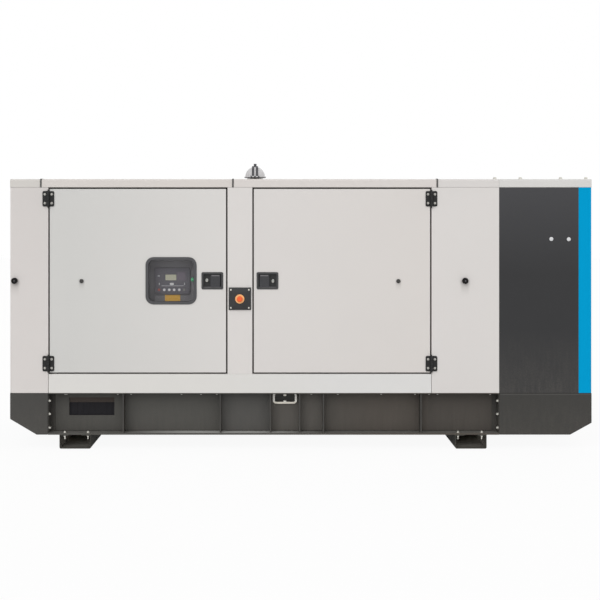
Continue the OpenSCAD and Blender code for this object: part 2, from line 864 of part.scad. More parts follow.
module door_frames() {
    side = frame_w - frame_lap;
    color("#1b1b1b") for (x = [x_door_l, x_door_r]) difference() {
        translate([x - side, y_inner, z_door - side])
            cube([door_w + 2 * side, frame_d, z_roof - z_door + side]);
        translate([x + frame_lap, y_inner - over, z_door + frame_lap])
            cube([door_w - 2 * frame_lap, frame_d + 2 * over, door_h - 2 * frame_lap]);
    }
}

// A hinge leaf in its own frame: pin on Z through the origin, wall at +Y, leaf towards +X.
module hinge_plate() {
    x = hinge_leaf_w - hinge_r;
    z = hinge_h / 2 - hinge_r;
    run_y(hinge_stand - hinge_leaf_t, hinge_stand) polygon(concat([[over, -hinge_h / 2]],
        arc([x, -z], hinge_r, 270, 360), arc([x, z], hinge_r, 0, 90), [[over, hinge_h / 2]]));
}

// The outer knuckles with their leaf and pin, fixed to the frame.
module fixed_hinge() {
    third = hinge_h / 3;
    difference() {
        union() {
            hinge_plate();
            for (s = [-1, 1]) translate([0, 0, s * third - third / 2])
                cylinder(r = knuckle_r, h = third);
        }
        translate([0, 0, -third / 2 - knuckle_gap])
            cylinder(r = knuckle_r + 1.5, h = third + 2 * knuckle_gap);
    }
    translate([0, 0, -hinge_h / 2 - pin_tip]) cylinder(r = pin_r, h = hinge_h + 2 * pin_tip);
}

// The middle knuckle with its leaf, fixed to the door.
module moving_hinge() {
    third = hinge_h / 3;
    difference() {
        union() {
            hinge_plate();
            translate([0, 0, -third / 2]) cylinder(r = knuckle_r, h = third);
        }
        for (s = [-1, 1]) translate([0, 0, s * third - third / 2 - knuckle_gap])
            cylinder(r = knuckle_r + 1.5, h = third + 2 * knuckle_gap);
        translate([0, 0, -hinge_h]) cylinder(r = pin_r + run_gap, h = 2 * hinge_h);
    }
}

module fixed_hinges() {
    color("#262626") for (z = hinge_zs) {
        translate([x_pin_l, y_pin, z]) mirror([1, 0, 0]) fixed_hinge();
        translate([x_pin_r, y_pin, z]) fixed_hinge();
        for (x = [x_pin_l, x_pin_r]) translate([x, -y_pin, z]) mirror([0, 1, 0]) {
            fixed_hinge();
            mirror([1, 0, 0]) fixed_hinge();
        }
    }
}

module hinges_left() {
    color("#262626") for (z = hinge_zs) translate([x_pin_l, y_pin, z]) moving_hinge();
}

module hinges_right() {
    color("#262626") for (z = hinge_zs)
        translate([x_pin_r, y_pin, z]) mirror([1, 0, 0]) moving_hinge();
}

module door_buffers() {
    color("#1d1d1d") both_sides() for (x = [x_pin_l - buffer_x, x_pin_r + buffer_x])
        bar_y(x, y_face - buffer_l, y_face, z_mid, buffer_r);
}

// The cut-out of a latch pan in a door's skin.
module latch_recess(x_latch) {
    edge = latch_t + run_gap;
    translate([x_latch - pan_w / 2 - edge, y_face - over, z_mid - pan_h / 2 - edge])
        cube([pan_w + 2 * edge, latch_d + edge + over, pan_h + 2 * edge]);
}

// A door leaf: lined steel pan with a recess for its latch.
module leaf(x, x_latch) {
    difference() {
        translate([x, y_face, z_door]) cube([door_w, door_t, door_h]);
        translate([x + leaf_edge, y_face + door_t - lining_step, z_door + leaf_edge])
            cube([door_w - 2 * leaf_edge, lining_step + over, door_h - 2 * leaf_edge]);
        latch_recess(x_latch);
    }
}

module door_left() {
    color("#d6d3cf") difference() {
        leaf(x_door_l, x_latch_l);
        translate([x_window, 0, z_mid]) run_y(y_face - over, y_face + door_t + over)
            polygon(round_rect(bezel_w - 2 * bezel_flange, bezel_h - 2 * bezel_flange,
                bezel_r - bezel_flange));
    }
}

module door_right() {
    color("#d6d3cf") leaf(x_door_r, x_latch_r);
}

module window_bezel() {
    inset = bezel_flange + run_gap;
    color("#2b2c2e") translate([x_window, 0, z_mid]) difference() {
        union() {
            run_y(y_face - bezel_up, y_face) polygon(round_rect(bezel_w, bezel_h, bezel_r));
            run_y(y_face - over, y_face + door_t) polygon(round_rect(bezel_w - 2 * inset,
                bezel_h - 2 * inset, bezel_r - inset));
        }
        run_y(y_face - bezel_up - over, y_face + door_t + over) polygon(round_rect(
            bezel_w - 2 * bezel_b, bezel_h - 2 * bezel_b, bezel_r - bezel_b));
    }
}

module window_pane() {
    inset = bezel_b + run_gap;
    color("#8f9a9e", 0.35) translate([x_window, 0, z_mid])
        run_y(y_face, y_face + pane_t) polygon(round_rect(bezel_w - 2 * inset,
            bezel_h - 2 * inset, bezel_r - inset));
}

// A latch pan in its own frame: door skin at Y = 0, outside towards -Y, paddle's pin towards +X.
module latch_pan() {
    difference() {
        union() {
            run_y(-latch_up, 0) polygon(round_rect(latch_w, latch_h, latch_r));
            translate([-pan_w / 2 - latch_t, -over, -pan_h / 2 - latch_t])
                cube([pan_w + 2 * latch_t, latch_d + latch_t + over, pan_h + 2 * latch_t]);
        }
        translate([-pan_w / 2, -latch_up - over, -pan_h / 2])
            cube([pan_w, latch_d + latch_up + over, pan_h]);
    }
    translate([paddle_pin, y_paddle_pin - y_face, -pan_h / 2 - over])
        cylinder(r = paddle_pin_r, h = pan_h + 2 * over);
    bar_y(lock_x - pan_w / 2, 2, latch_d + over, 0, lock_r);
}

// The paddle of a latch, bored for its pin.
module paddle(bore_r) {
    h = pan_h - 2 * paddle_gap;
    y_pivot = y_paddle_pin - y_face;
    difference() {
        union() {
            translate([paddle_pin - paddle_w, -latch_up, -h / 2]) cube([paddle_w + 4, paddle_t, h]);
            translate([paddle_pin - paddle_w, -latch_up, -h / 2]) cube([paddle_t, 16, h]);
            translate([paddle_pin - 4, -latch_up, -h / 2]) cube([8, y_pivot + latch_up, h]);
            translate([paddle_pin, y_pivot, -h / 2]) cylinder(r = paddle_knuckle_r, h = h);
        }
        translate([paddle_pin, y_pivot, -pan_h]) cylinder(r = bore_r, h = 2 * pan_h);
    }
}

module latch_left() {
    color("#303132") translate([x_latch_l, y_face, z_mid]) latch_pan();
}

module latch_right() {
    color("#303132") translate([x_latch_r, y_face, z_mid]) mirror([1, 0, 0]) latch_pan();
}

module handle_left() {
    color("#3a3b3d") translate([x_latch_l, y_face, z_mid]) paddle(paddle_pin_r + run_gap);
}

module handle_right() {
    color("#3a3b3d") translate([x_latch_r, y_face, z_mid]) mirror([1, 0, 0])
        paddle(paddle_pin_r + run_gap);
}

module back_latches() {
    color("#303132") mirror([0, 1, 0]) {
        translate([x_latch_l, y_face, z_mid]) {
            latch_pan();
            paddle(paddle_pin_r - run_gap);
        }
        translate([x_latch_r, y_face, z_mid]) mirror([1, 0, 0]) {
            latch_pan();
            paddle(paddle_pin_r - run_gap);
        }
    }
}

module e_stop_box() {
    w = stop_w / 2;
    h = stop_h / 2;
    color("#2e2f30") translate([x_stop, y_face, z_stop]) difference() {
        intersection() {
            translate([0, 0, -h]) linear_extrude(stop_h) polygon([[-w, 0], [-w, -stop_edge],
                [stop_slope - w, -stop_d], [w - stop_slope, -stop_d], [w, -stop_edge], [w, 0]]);
            run_x(-w, w) polygon([[0, -h], [-stop_edge, -h], [-stop_d, stop_slope - h],
                [-stop_d, h - stop_slope], [-stop_edge, h], [0, h]]);
        }
        bar_y(0, -stop_d - over, -stop_d + 2 * stem_in, 0, stem_r + run_gap);
    }
}

module e_stop_ring() {
    color("#f2b04a") translate([x_stop, 0, z_stop]) difference() {
        bar_y(0, y_stop - ring_t, y_stop, 0, ring_r);
        bar_y(0, y_stop - ring_t - over, y_stop + over, 0, stem_r + run_gap);
    }
}

module e_stop_button() {
    head = button_h / 2;
    color("#e8502a") translate([x_stop, y_button, z_stop]) rotate([90, 0, 0])
        rotate_extrude() polygon(concat([[0, -button_room - ring_t - stem_in],
            [stem_r, -button_room - ring_t - stem_in], [stem_r, 0], [button_r, 0]],
            arc([button_r - head, head], head, 0, 90), [[0, button_h]]));
}

module control_cubicle() {
    y = y_inner + cubicle_back;
    color("#b7b5b1") translate([x_window - cubicle_w / 2, y, 0]) {
        translate([0, 0, z_mid - cubicle_h / 2]) cube([cubicle_w, cubicle_d, cubicle_h]);
        for (x = [leg_w / 2, cubicle_w - 1.5 * leg_w]) translate([x, cubicle_d / 2, z_floor])
            cube([leg_w, leg_w, z_mid - cubicle_h / 2 - z_floor + over]);
    }
}

module controller() {
    y = y_inner + cubicle_back;
    color("#8a8c8d") translate([x_window, 0, z_mid - controller_drop]) difference() {
        run_y(y - controller_d, y) polygon(round_rect(controller_w, controller_h, controller_r));
        translate([-screen_x - screen_w / 2, y - controller_d - over, screen_z - screen_h / 2])
            cube([screen_w, screen_d + over, screen_h]);
    }
}

module alternator() {
    x_end = x_alternator + alternator_l;
    color("#4b4d50") {
        bar_x(x_alternator, x_end, 0, z_shaft, alternator_r);
        bar_x(x_alternator - end_cover_l, x_alternator + over, 0, z_shaft,
            alternator_r - barrel_step);
        bar_x(x_end - over, x_flywheel, 0, z_shaft, alternator_r - barrel_step);
        translate([(x_alternator + x_end - terminal_l) / 2, -terminal_w / 2, z_shaft])
            cube([terminal_l, terminal_w, alternator_r + terminal_h]);
        both_sides() {
            translate([0, 0, z_shaft]) for (i = [0:barrel_ribs - 1])
                rotate([10 - i * 50 / (barrel_ribs - 1), 0, 0])
                    translate([x_alternator + bed_end, -alternator_r - rib_h, -rib_h / 2])
                        cube([alternator_l - 2 * bed_end, 2 * rib_h, rib_h]);
            translate([x_alternator + 1.5 * bed_end, -beam_y - beam_w / 2, z_bed])
                cube([alternator_l - 3 * bed_end, 1.6 * beam_w, (z_shaft - z_bed) * 0.6]);
        }
    }
}

module engine() {
    color("#6d6f70") {
        bar_x(x_flywheel, x_block + over, 0, z_shaft, alternator_r - barrel_step);
        translate([x_block, -block_w / 2, z_block]) cube([block_l, block_w, block_h]);
        run_x(x_block + foot_t, x_block + block_l - foot_t) polygon([
            [-block_w * 0.42, z_block + over], [block_w * 0.42, z_block + over],
            [block_w * 0.3, z_block - oil_pan_d], [-block_w * 0.3, z_block - oil_pan_d]]);
        for (i = [1:3]) translate([x_down - (i - 1) * 2.4 * filter_r,
            -block_w / 2 - 1.3 * filter_r, z_block - filter_r / 2])
            cylinder(r = filter_r, h = filter_h);
        translate([x_down - 6.3 * filter_r, -block_w / 2 - 2.2 * filter_r,
            z_block + filter_h - filter_r]) cube([7.8 * filter_r, 2.4 * filter_r, filter_r]);
        translate([x_block + block_l - over, -block_w * 0.46, z_block - foot_t])
            cube([timing_d + over, block_w * 0.92, block_h]);
        bar_x(x_block + block_l, x_block + block_l + 2 * timing_d, 0, z_shaft - foot_t, damper_r);
        both_sides() for (x = [x_block + foot_t, x_block + block_l - foot_t - foot_l]) {
            translate([x, -beam_y - beam_w / 2, z_bed])
                cube([foot_l, beam_w, z_block + foot_t - z_bed]);
            translate([x, -beam_y, z_block])
                cube([foot_l, beam_y - block_w / 2 + over, foot_t]);
        }
    }
}

// One head for each cylinder, under its valve cover.
module engine_heads() {
    w = cylinder_pitch - head_gap;
    color("#77797a") for (i = [0:cylinders - 1])
        translate([x_block + 2 * head_gap + i * cylinder_pitch, 0, z_deck]) {
            translate([0, -head_w / 2, 0]) cube([w, head_w, head_h]);
            translate([head_gap, -cover_w / 2, head_h - over])
                cube([w - 2 * head_gap, cover_w, cover_h]);
            for (s = [-1, 1]) translate([w / 2, s * cover_w / 4, head_h])
                cylinder(r = head_gap, h = cover_h + head_gap);
        }
}

// Inlet manifold on the control side, exhaust manifold with its flange at the back.
module manifolds() {
    color("#5c5450") {
        both_sides() {
            bar_x(x_block + 2 * head_gap, x_block + block_l - 2 * head_gap, -manifold_y,
                z_manifold, manifold_r);
            for (i = [0:cylinders - 1])
                bar_y(x_block + 1.5 * head_gap + (i + 0.5) * cylinder_pitch, -manifold_y,
                    -head_w / 2, z_manifold, runner_r);
        }
        translate([x_down, manifold_y, z_manifold]) cylinder(r = down_r, h = manifold_r + head_gap);
    }
}

module engine_fan() {
    x_cover = x_block + block_l + timing_d;
    color("#232425") {
        bar_x(x_cover, x_fan, 0, z_fan, fan_hub_r / 2);
        bar_x(x_fan - fan_blade_w / 2, x_fan + fan_blade_w / 2, 0, z_fan, fan_hub_r);
        translate([x_fan, 0, z_fan]) for (i = [0:fan_blades - 1])
            rotate([360 / fan_blades * i, 0, 0]) translate([0, 0, fan_hub_r * 0.86])
                rotate([0, 0, 25]) translate([-5, -fan_blade_w / 2, 0])
                    cube([10, fan_blade_w, fan_r - fan_hub_r * 0.86]);
    }
}

module radiator() {
    color("#3a3b3c") {
        difference() {
            translate([x_core, -radiator_w / 2, z_bed]) cube([radiator_d, radiator_w, radiator_h]);
            translate([x_core + radiator_d - core_d, radiator_b - radiator_w / 2, z_bed + radiator_b])
                cube([core_d + over, radiator_w - 2 * radiator_b, radiator_h - 2 * radiator_b]);
        }
        difference() {
            bar_x(x_core - shroud_l, x_core + over, 0, z_fan, fan_r + fan_gap + shroud_t);
            bar_x(x_core - shroud_l - over, x_core, 0, z_fan, fan_r + fan_gap);
        }
        translate([x_core + radiator_d / 2, 0, z_bed + radiator_h - over])
            cylinder(r = radiator_b / 2, h = radiator_b);
    }
}

module silencer() {
    color("#a7a5a0") {
        bar_x(x_silencer, x_silencer + silencer_l, 0, z_silencer, silencer_r);
        bar_x(x_outlet, x_silencer + over, 0, z_silencer, pipe_r - pipe_t);
        translate([x_outlet, 0, z_silencer]) cylinder(r = pipe_r, h = silencer_r);
        for (x = [x_silencer + hanger_x, x_silencer + silencer_l - hanger_x - hanger_w]) {
            translate([x, -hanger_w / 2, z_silencer]) cube([hanger_w, hanger_w, z_roof - z_silencer]);
            bar_x(x, x + hanger_w, 0, z_silencer, silencer_r + pipe_t);
        }
        bar_y(x_down, 0, manifold_y, z_silencer, down_r);
        translate([x_down, manifold_y, z_manifold + manifold_r + head_gap])
            cylinder(r = down_r, h = z_silencer - z_manifold - manifold_r - head_gap);
        translate([x_down, manifold_y, z_silencer]) sphere(r = down_r);
    }
}

base_rail_front();
base_rail_back();
base_ends();
fork_pocket_left();
fork_pocket_right();
joint_angles();
fuel_tank();
well_plate();
machine_bed();
drain_rim();
corner_panels();
centre_posts();
side_panels();
radiator_panels();
corner_posts();
door_sills();
end_wall_left();
inlet_louvre();
end_wall_right();
outlet_grille();
back_doors();
back_liner();
back_latches();
roof_end();
roof_alternator();
roof_engine();
roof_bridge();
roof_radiator();
roof_seals();
exhaust_outlet();
roof_collar();
exhaust_cap();
door_frames();
fixed_hinges();
door_buffers();
e_stop_box();
e_stop_ring();
e_stop_button();
control_cubicle();
controller();
engine();
engine_heads();
manifolds();
engine_fan();
alternator();
radiator();
silencer();
door_left();
window_bezel();
window_pane();
latch_left();
handle_left();
hinges_left();
door_right();
latch_right();
handle_right();
hinges_right();
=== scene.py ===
import json
import math
import bmesh
import bpy
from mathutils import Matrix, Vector


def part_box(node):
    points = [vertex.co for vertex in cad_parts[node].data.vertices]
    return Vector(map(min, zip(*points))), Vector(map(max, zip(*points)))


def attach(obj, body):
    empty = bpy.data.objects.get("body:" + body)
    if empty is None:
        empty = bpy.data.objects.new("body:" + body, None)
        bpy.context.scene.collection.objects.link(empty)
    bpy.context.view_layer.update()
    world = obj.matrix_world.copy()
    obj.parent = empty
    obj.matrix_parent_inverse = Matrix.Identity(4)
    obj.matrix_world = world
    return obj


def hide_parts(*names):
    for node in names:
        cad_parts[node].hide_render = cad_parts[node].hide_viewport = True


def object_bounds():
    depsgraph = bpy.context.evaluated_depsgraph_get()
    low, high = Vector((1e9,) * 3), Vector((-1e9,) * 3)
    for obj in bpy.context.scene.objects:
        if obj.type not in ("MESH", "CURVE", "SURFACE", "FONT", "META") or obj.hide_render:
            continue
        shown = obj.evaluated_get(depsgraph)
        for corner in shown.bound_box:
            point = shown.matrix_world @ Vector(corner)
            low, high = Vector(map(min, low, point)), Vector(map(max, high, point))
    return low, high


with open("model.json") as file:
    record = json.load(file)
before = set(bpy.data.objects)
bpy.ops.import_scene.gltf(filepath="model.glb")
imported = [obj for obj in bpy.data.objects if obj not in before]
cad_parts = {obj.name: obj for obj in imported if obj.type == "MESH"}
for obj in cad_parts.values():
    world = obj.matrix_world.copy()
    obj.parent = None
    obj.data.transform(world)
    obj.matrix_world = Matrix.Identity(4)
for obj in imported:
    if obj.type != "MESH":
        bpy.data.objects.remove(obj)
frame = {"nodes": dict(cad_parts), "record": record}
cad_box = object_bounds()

# The studio: a pale floor in a white surround, a broad lamp high in front, weaker ones on the other side and behind,
# and a level camera a little left of the middle, where the photographer stood.
scene = bpy.context.scene
scene.view_settings.view_transform = "Standard"
WHITE = (1.0, 1.0, 1.0, 1.0)


def add(tree, kind, inputs=None, **settings):
    """A node in a tree, with its settings and its inputs, each a value or the socket that feeds it."""
    node = tree.nodes.new(kind)
    for label, value in settings.items():
        setattr(node, label, value)
    for label, value in (inputs or {}).items():
        if isinstance(value, bpy.types.NodeSocket):
            tree.links.new(value, node.inputs[label])
        else:
            node.inputs[label].default_value = value
    return node


def calc(tree, operation, *terms, clamp=False):
    """What one step of arithmetic gives."""
    return add(tree, "ShaderNodeMath", dict(enumerate(terms)), operation=operation, use_clamp=clamp).outputs[0]


def shown_rays(tree):
    """1 for rays that show the surround itself: straight, mirrored or through the window."""
    path = add(tree, "ShaderNodeLightPath").outputs
    mirrored = calc(tree, "MAXIMUM", path["Is Camera Ray"], path["Is Glossy Ray"])
    return calc(tree, "MAXIMUM", mirrored, path["Is Transmission Ray"])


def in_scene(name, data):
    """An object with some data, linked into the scene."""
    thing = bpy.data.objects.new(name, data)
    scene.collection.objects.link(thing)
    return thing


scene.world = bpy.data.worlds.new("white surround")
scene.world.use_nodes = True
sky = scene.world.node_tree
sky.nodes.clear()
lit = add(sky, "ShaderNodeBackground", {"Color": WHITE, "Strength": 0.55})
shown = add(sky, "ShaderNodeBackground", {"Color": WHITE, "Strength": 1.0})
surround = add(sky, "ShaderNodeMixShader", {0: shown_rays(sky), 1: lit.outputs[0], 2: shown.outputs[0]})
add(sky, "ShaderNodeOutputWorld", {"Surface": surround.outputs[0]})

floor_mesh = bpy.data.meshes.new("studio_floor")
floor_mesh.from_pydata([(-30, -14, 0), (30, -14, 0), (30, 46, 0), (-30, 46, 0)], [], [(0, 1, 2, 3)])
floor = in_scene("studio_floor", floor_mesh)
floor_finish = bpy.data.materials.new("pale floor")
floor_finish.use_nodes = True
tree = floor_finish.node_tree
tree.nodes.clear()
matt = add(tree, "ShaderNodeBsdfDiffuse", {"Color": (0.86, 0.86, 0.86, 1.0)})
glow = add(tree, "ShaderNodeEmission", {"Color": WHITE, "Strength": 1.0})
share = calc(tree, "MULTIPLY", shown_rays(tree), 0.93)
pale = add(tree, "ShaderNodeMixShader", {0: share, 1: matt.outputs[0], 2: glow.outputs[0]})
add(tree, "ShaderNodeOutputMaterial", {"Surface": pale.outputs[0]})
floor_mesh.materials.append(floor_finish)

for name, strength, spread, aim in (("key_lamp", 1.12, 55, (0.35, 0.80, -0.62)),
                                    ("fill_lamp", 0.40, 80, (-0.75, 0.35, -0.45)),
                                    ("back_lamp", 0.8, 70, (-0.25, -0.85, -0.5))):
    lamp = bpy.data.lights.new(name, "SUN")
    lamp.energy = strength
    lamp.angle = math.radians(spread)
    in_scene(name, lamp).rotation_euler = Vector(aim).to_track_quat("-Z", "Y").to_euler()

lens = bpy.data.cameras.new("front_camera")
lens.lens = 68.3
lens.sensor_width = 36.0
lens.shift_x = 0.0386
lens.shift_y = -0.1316
lens.clip_end = 200.0
camera = in_scene("front_camera", lens)
camera.location = (-0.19, -9.82, 1.80)
camera.rotation_euler = (math.radians(90), 0, 0)
scene.camera = camera

# Fork pockets: two channels folded from plate with in-turned lips, welded across under the skid as its feet.
# Sprayed a darker grey than the rails, as painted shade for their place under the skid, and scraped by forks along
# the edges. Deeper inside they are painted pale: painted light where little light gets in.
record = frame["record"]
body_of = {node: body for body, nodes in record["behaviour"]["bodies"].items() for node in nodes}
slot_of = {row["node"]: row["material_slot"] for row in record["subparts"]}
ON_PAINT = {"Vector": "Vector", "Colour": "Color"}
PEEL = 0.00018


def srgb(r, g, b):
    """A colour as a screen shows it, 0 to 255, as linear values."""
    return tuple(c / 12.92 if c <= 0.04045 else ((c + 0.055) / 1.055) ** 2.4
                 for c in (r / 255, g / 255, b / 255)) + (1.0,)


def node_group(name, kind, inputs, outputs):
    """An empty group with its sockets; gives it, what comes in and each input's identifier."""
    group = bpy.data.node_groups.new(name, kind + "NodeTree")
    keys = {label: group.interface.new_socket(label, in_out="INPUT", socket_type="NodeSocket" + sort).identifier
            for label, sort in inputs.items()}
    for label, sort in outputs.items():
        group.interface.new_socket(label, in_out="OUTPUT", socket_type="NodeSocket" + sort)
    return group, add(group, "NodeGroupInput").outputs, keys


def placed(tree, group, inputs):
    """What a group gives in a material's tree, with this material's values."""
    return add(tree, "ShaderNodeGroup", inputs, node_tree=group).outputs


def split(tree, vector):
    """A vector's parts."""
    return add(tree, "ShaderNodeSeparateXYZ", {0: vector}).outputs


def vector_calc(tree, operation, first, second):
    """What one step of vector arithmetic gives."""
    return add(tree, "ShaderNodeVectorMath", {0: first, 1: second}, operation=operation).outputs


def noise(tree, place, scale, detail, roughness=0.5):
    """Cloudy values."""
    return add(tree, "ShaderNodeTexNoise", {"Vector": place, "Scale": scale, "Detail": detail,
                                            "Roughness": roughness}).outputs["Fac"]


def ramp(tree, value, start, end, low=0.0, high=1.0, kind="LINEAR"):
    """A value's way from start to end, as one from low to high."""
    return add(tree, "ShaderNodeMapRange", {"Value": value, "From Min": start, "From Max": end, "To Min": low,
                                            "To Max": high}, interpolation_type=kind).outputs[0]


def mixed(tree, share, first, second):
    """A colour between two."""
    return add(tree, "ShaderNodeMix", {0: share, 6: first, 7: second}, data_type="RGBA").outputs[2]


# Sprayed coat: a fine orange peel, faint clouds of tone where passes overlap, and uneven gloss.
sprayed_coat, given, _ = node_group(
    "sprayed coat", "Shader", {**ON_PAINT, "Clouds": "Float", "Roughness": "Float", "Peel Scale": "Float"},
    {"Colour": "Color", "Roughness": "Float", "Height": "Float"})
tree = sprayed_coat
drift = calc(tree, "SUBTRACT", noise(tree, given["Vector"], 1.7, 4.0, 0.55), 0.5)
lift = calc(tree, "MULTIPLY_ADD", drift, given["Clouds"], 1.0)
tone = add(tree, "ShaderNodeHueSaturation", {"Value": lift, "Color": given["Colour"]})
haze = calc(tree, "MULTIPLY_ADD", noise(tree, given["Vector"], 9.0, 3.0), 0.16, -0.08)
add(tree, "NodeGroupOutput", {
    "Colour": tone.outputs["Color"], "Roughness": calc(tree, "ADD", haze, given["Roughness"]),
    "Height": noise(tree, given["Vector"], given["Peel Scale"], 2.0)})

# Ground dust: thick near the ground, gone at a given height, in speckles and run-down streaks.
ground_dust, given, _ = node_group(
    "ground dust", "Shader", {**ON_PAINT, "Dust": "Color", "Ends At": "Float", "Amount": "Float"},
    {"Colour": "Color"})
tree = ground_dust
near = ramp(tree, split(tree, given["Vector"])["Z"], given["Ends At"], 0.0)
long_way = vector_calc(tree, "MULTIPLY", given["Vector"], (1.0, 1.0, 0.16))[0]
laid = calc(tree, "MULTIPLY", noise(tree, long_way, 34.0, 4.0), noise(tree, given["Vector"], 120.0, 2.0))
laid = calc(tree, "MULTIPLY", laid, near)
laid = calc(tree, "MULTIPLY", laid, given["Amount"], clamp=True)
add(tree, "NodeGroupOutput", {"Colour": mixed(tree, laid, given["Colour"], given["Dust"])})

# Within box: a mask for what lies between two corners.
within_box, given, _ = node_group(
    "within box", "Shader", {"Vector": "Vector", "Low": "Vector", "High": "Vector"}, {"Mask": "Float"})
tree = within_box
above = vector_calc(tree, "SUBTRACT", given["Vector"], given["Low"])[0]
below = vector_calc(tree, "SUBTRACT", given["High"], given["Vector"])[0]
parts = split(tree, vector_calc(tree, "MINIMUM", above, below)[0])
least = calc(tree, "MINIMUM", calc(tree, "MINIMUM", parts[0], parts[1]), parts[2])
add(tree, "NodeGroupOutput", {"Mask": calc(tree, "GREATER_THAN", least, 0.0)})


def finish(name, sheen=0.5, **constants):
    """A material with one Principled shader; gives it with its tree, its shader and the object coordinates."""
    material = bpy.data.materials.new(name)
    material.use_nodes = True
    tree = material.node_tree
    shader = tree.nodes["Principled BSDF"]
    shader.inputs["Specular IOR Level"].default_value = sheen
    for label, value in constants.items():
        shader.inputs[label].default_value = value
    return material, tree, shader, add(tree, "ShaderNodeTexCoord").outputs["Object"]


def coated(tree, place, colour, clouds, roughness, grain=260.0):
    """A sprayed coat's colour, roughness and height."""
    return placed(tree, sprayed_coat, {"Vector": place, "Colour": colour, "Clouds": clouds, "Roughness": roughness,
                                       "Peel Scale": grain})


def dusted(tree, place, colour, ends_at, amount, dust=srgb(150, 143, 132)):
    """A colour under ground dust."""
    return placed(tree, ground_dust, {"Vector": place, "Colour": colour, "Ends At": ends_at, "Amount": amount,
                                      "Dust": dust})["Colour"]


def patched(tree, place, colour, patches):
    """A colour with other colours on what lies inside boxes, each a low corner, a high corner and a colour."""
    for low, high, tint in patches:
        mask = placed(tree, within_box, {"Vector": place, "Low": low, "High": high})["Mask"]
        colour = mixed(tree, mask, colour, tint)
    return colour


def bumped(tree, shader, height, depth, strength=1.0):
    """Relief on a shader from a height, its depth in metres."""
    relief = add(tree, "ShaderNodeBump", {"Strength": strength, "Distance": depth, "Height": height})
    tree.links.new(relief.outputs[0], shader.inputs["Normal"])


def laid_on(tree, shader, colour, coat, depth=PEEL, strength=1.0):
    """Gives a shader its colour, and a coat's roughness and relief."""
    tree.links.new(colour, shader.inputs["Base Color"])
    tree.links.new(coat["Roughness"], shader.inputs["Roughness"])
    bumped(tree, shader, coat["Height"], depth, strength)


def sprayed(name, colour, roughness, clouds=0.06, dust_to=0.0, dust=0.0, depth=PEEL, sheen=0.35, grain=260.0,
            metallic=0.0):
    """A coat over all of a piece, with ground dust up to a height."""
    material, tree, shader, place = finish(name, sheen, Metallic=metallic)
    coat = coated(tree, place, colour, clouds, roughness, grain)
    top = dusted(tree, place, coat["Colour"], dust_to, dust) if dust else coat["Colour"]
    laid_on(tree, shader, top, coat, depth)
    return material


def carried(piece, body):
    """Puts a piece on a body."""
    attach(piece, body)


def settled(piece):
    """Turns what a piece's modifiers make into its own mesh."""
    mesh = bpy.data.meshes.new_from_object(piece.evaluated_get(bpy.context.evaluated_depsgraph_get()))
    piece.modifiers.clear()
    piece.data = mesh
    return mesh


def level_panels(mesh):
    """Normals square to each broad flat face, so that no tone drifts across a panel."""
    work = bmesh.new()
    work.from_mesh(mesh)
    areas = [face.calc_area() for face in work.faces]
    normals = [corner.vector.copy() for corner in mesh.corner_normals]
    for face in work.faces:
        curved = any(0.01 < edge.calc_face_angle(0.0) < 0.6 and areas[other.index] > 0.2 * areas[face.index]
                     for edge in face.edges for other in edge.link_faces if other != face)
        if not curved:
            for corner in mesh.polygons[face.index].loop_indices:
                normals[corner] = face.normal.copy()
    work.free()
    mesh.normals_split_custom_set(normals)


WELD, FLAT_ANGLE, SHARP_ANGLE = 2e-5, math.radians(1.0), math.radians(40)


def dressed(node, edge, material, segments=2, worn=None):
    """A CAD node's shape in its place, with sharp edges broken to a radius, and worn if a finish says so."""
    mesh = frame["nodes"][node].data.copy()
    mesh.name = node + "_dressed"
    mesh.materials.clear()
    mesh.materials.append(material)
    if worn:
        mesh.materials.append(worn)
    work = bmesh.new()
    work.from_mesh(mesh)
    bmesh.ops.remove_doubles(work, verts=work.verts, dist=WELD)
    bmesh.ops.dissolve_limit(work, angle_limit=FLAT_ANGLE, verts=work.verts, edges=work.edges)
    for face in work.faces:
        face.material_index = 0
        face.smooth = True
    work.to_mesh(mesh)
    work.free()
    piece = in_scene(node + "_dressed", mesh)
    bevel = piece.modifiers.new("broken edges", "BEVEL")
    bevel.width = edge
    bevel.segments = segments
    bevel.limit_method = "ANGLE"
    bevel.angle_limit = SHARP_ANGLE
    bevel.harden_normals = True
    if worn:
        bevel.material = 1
    level_panels(settled(piece))
    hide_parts(node)
    carried(piece, body_of[node])


INSIDE = Vector((0.0075, 0.004, 0.0075))
DEEP_INSIDE = 0.55
pocket_edge = sprayed("scraped pocket edge", srgb(88, 86, 81), 0.5, clouds=0.4, sheen=0.2)
for node in ("fork_pocket_left", "fork_pocket_right"):
    low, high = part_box(node)
    pocket_paint, tree, shader, place = finish(node + " paint", sheen=0.012)
    # The pockets' grey is darker than the rails': painted shade for their place under the skid.
    coat = coated(tree, place, srgb(48, 48, 44), 0.4, 0.6)
    across = calc(tree, "ABSOLUTE", split(tree, place)["Y"])
    # Deeper inside, the pockets are painted pale: painted light where little light gets in.
    deep_light_tone = mixed(tree, ramp(tree, across, high.y, DEEP_INSIDE), srgb(52, 52, 47), srgb(220, 216, 206))
    inside_lit_colour = patched(tree, place, coat["Colour"], [(low + INSIDE, high - INSIDE, deep_light_tone)])
    laid_on(tree, shader, dusted(tree, place, inside_lit_colour, 0.1, 0.25), coat)
    dressed(node, 0.0015, pocket_paint, worn=pocket_edge)
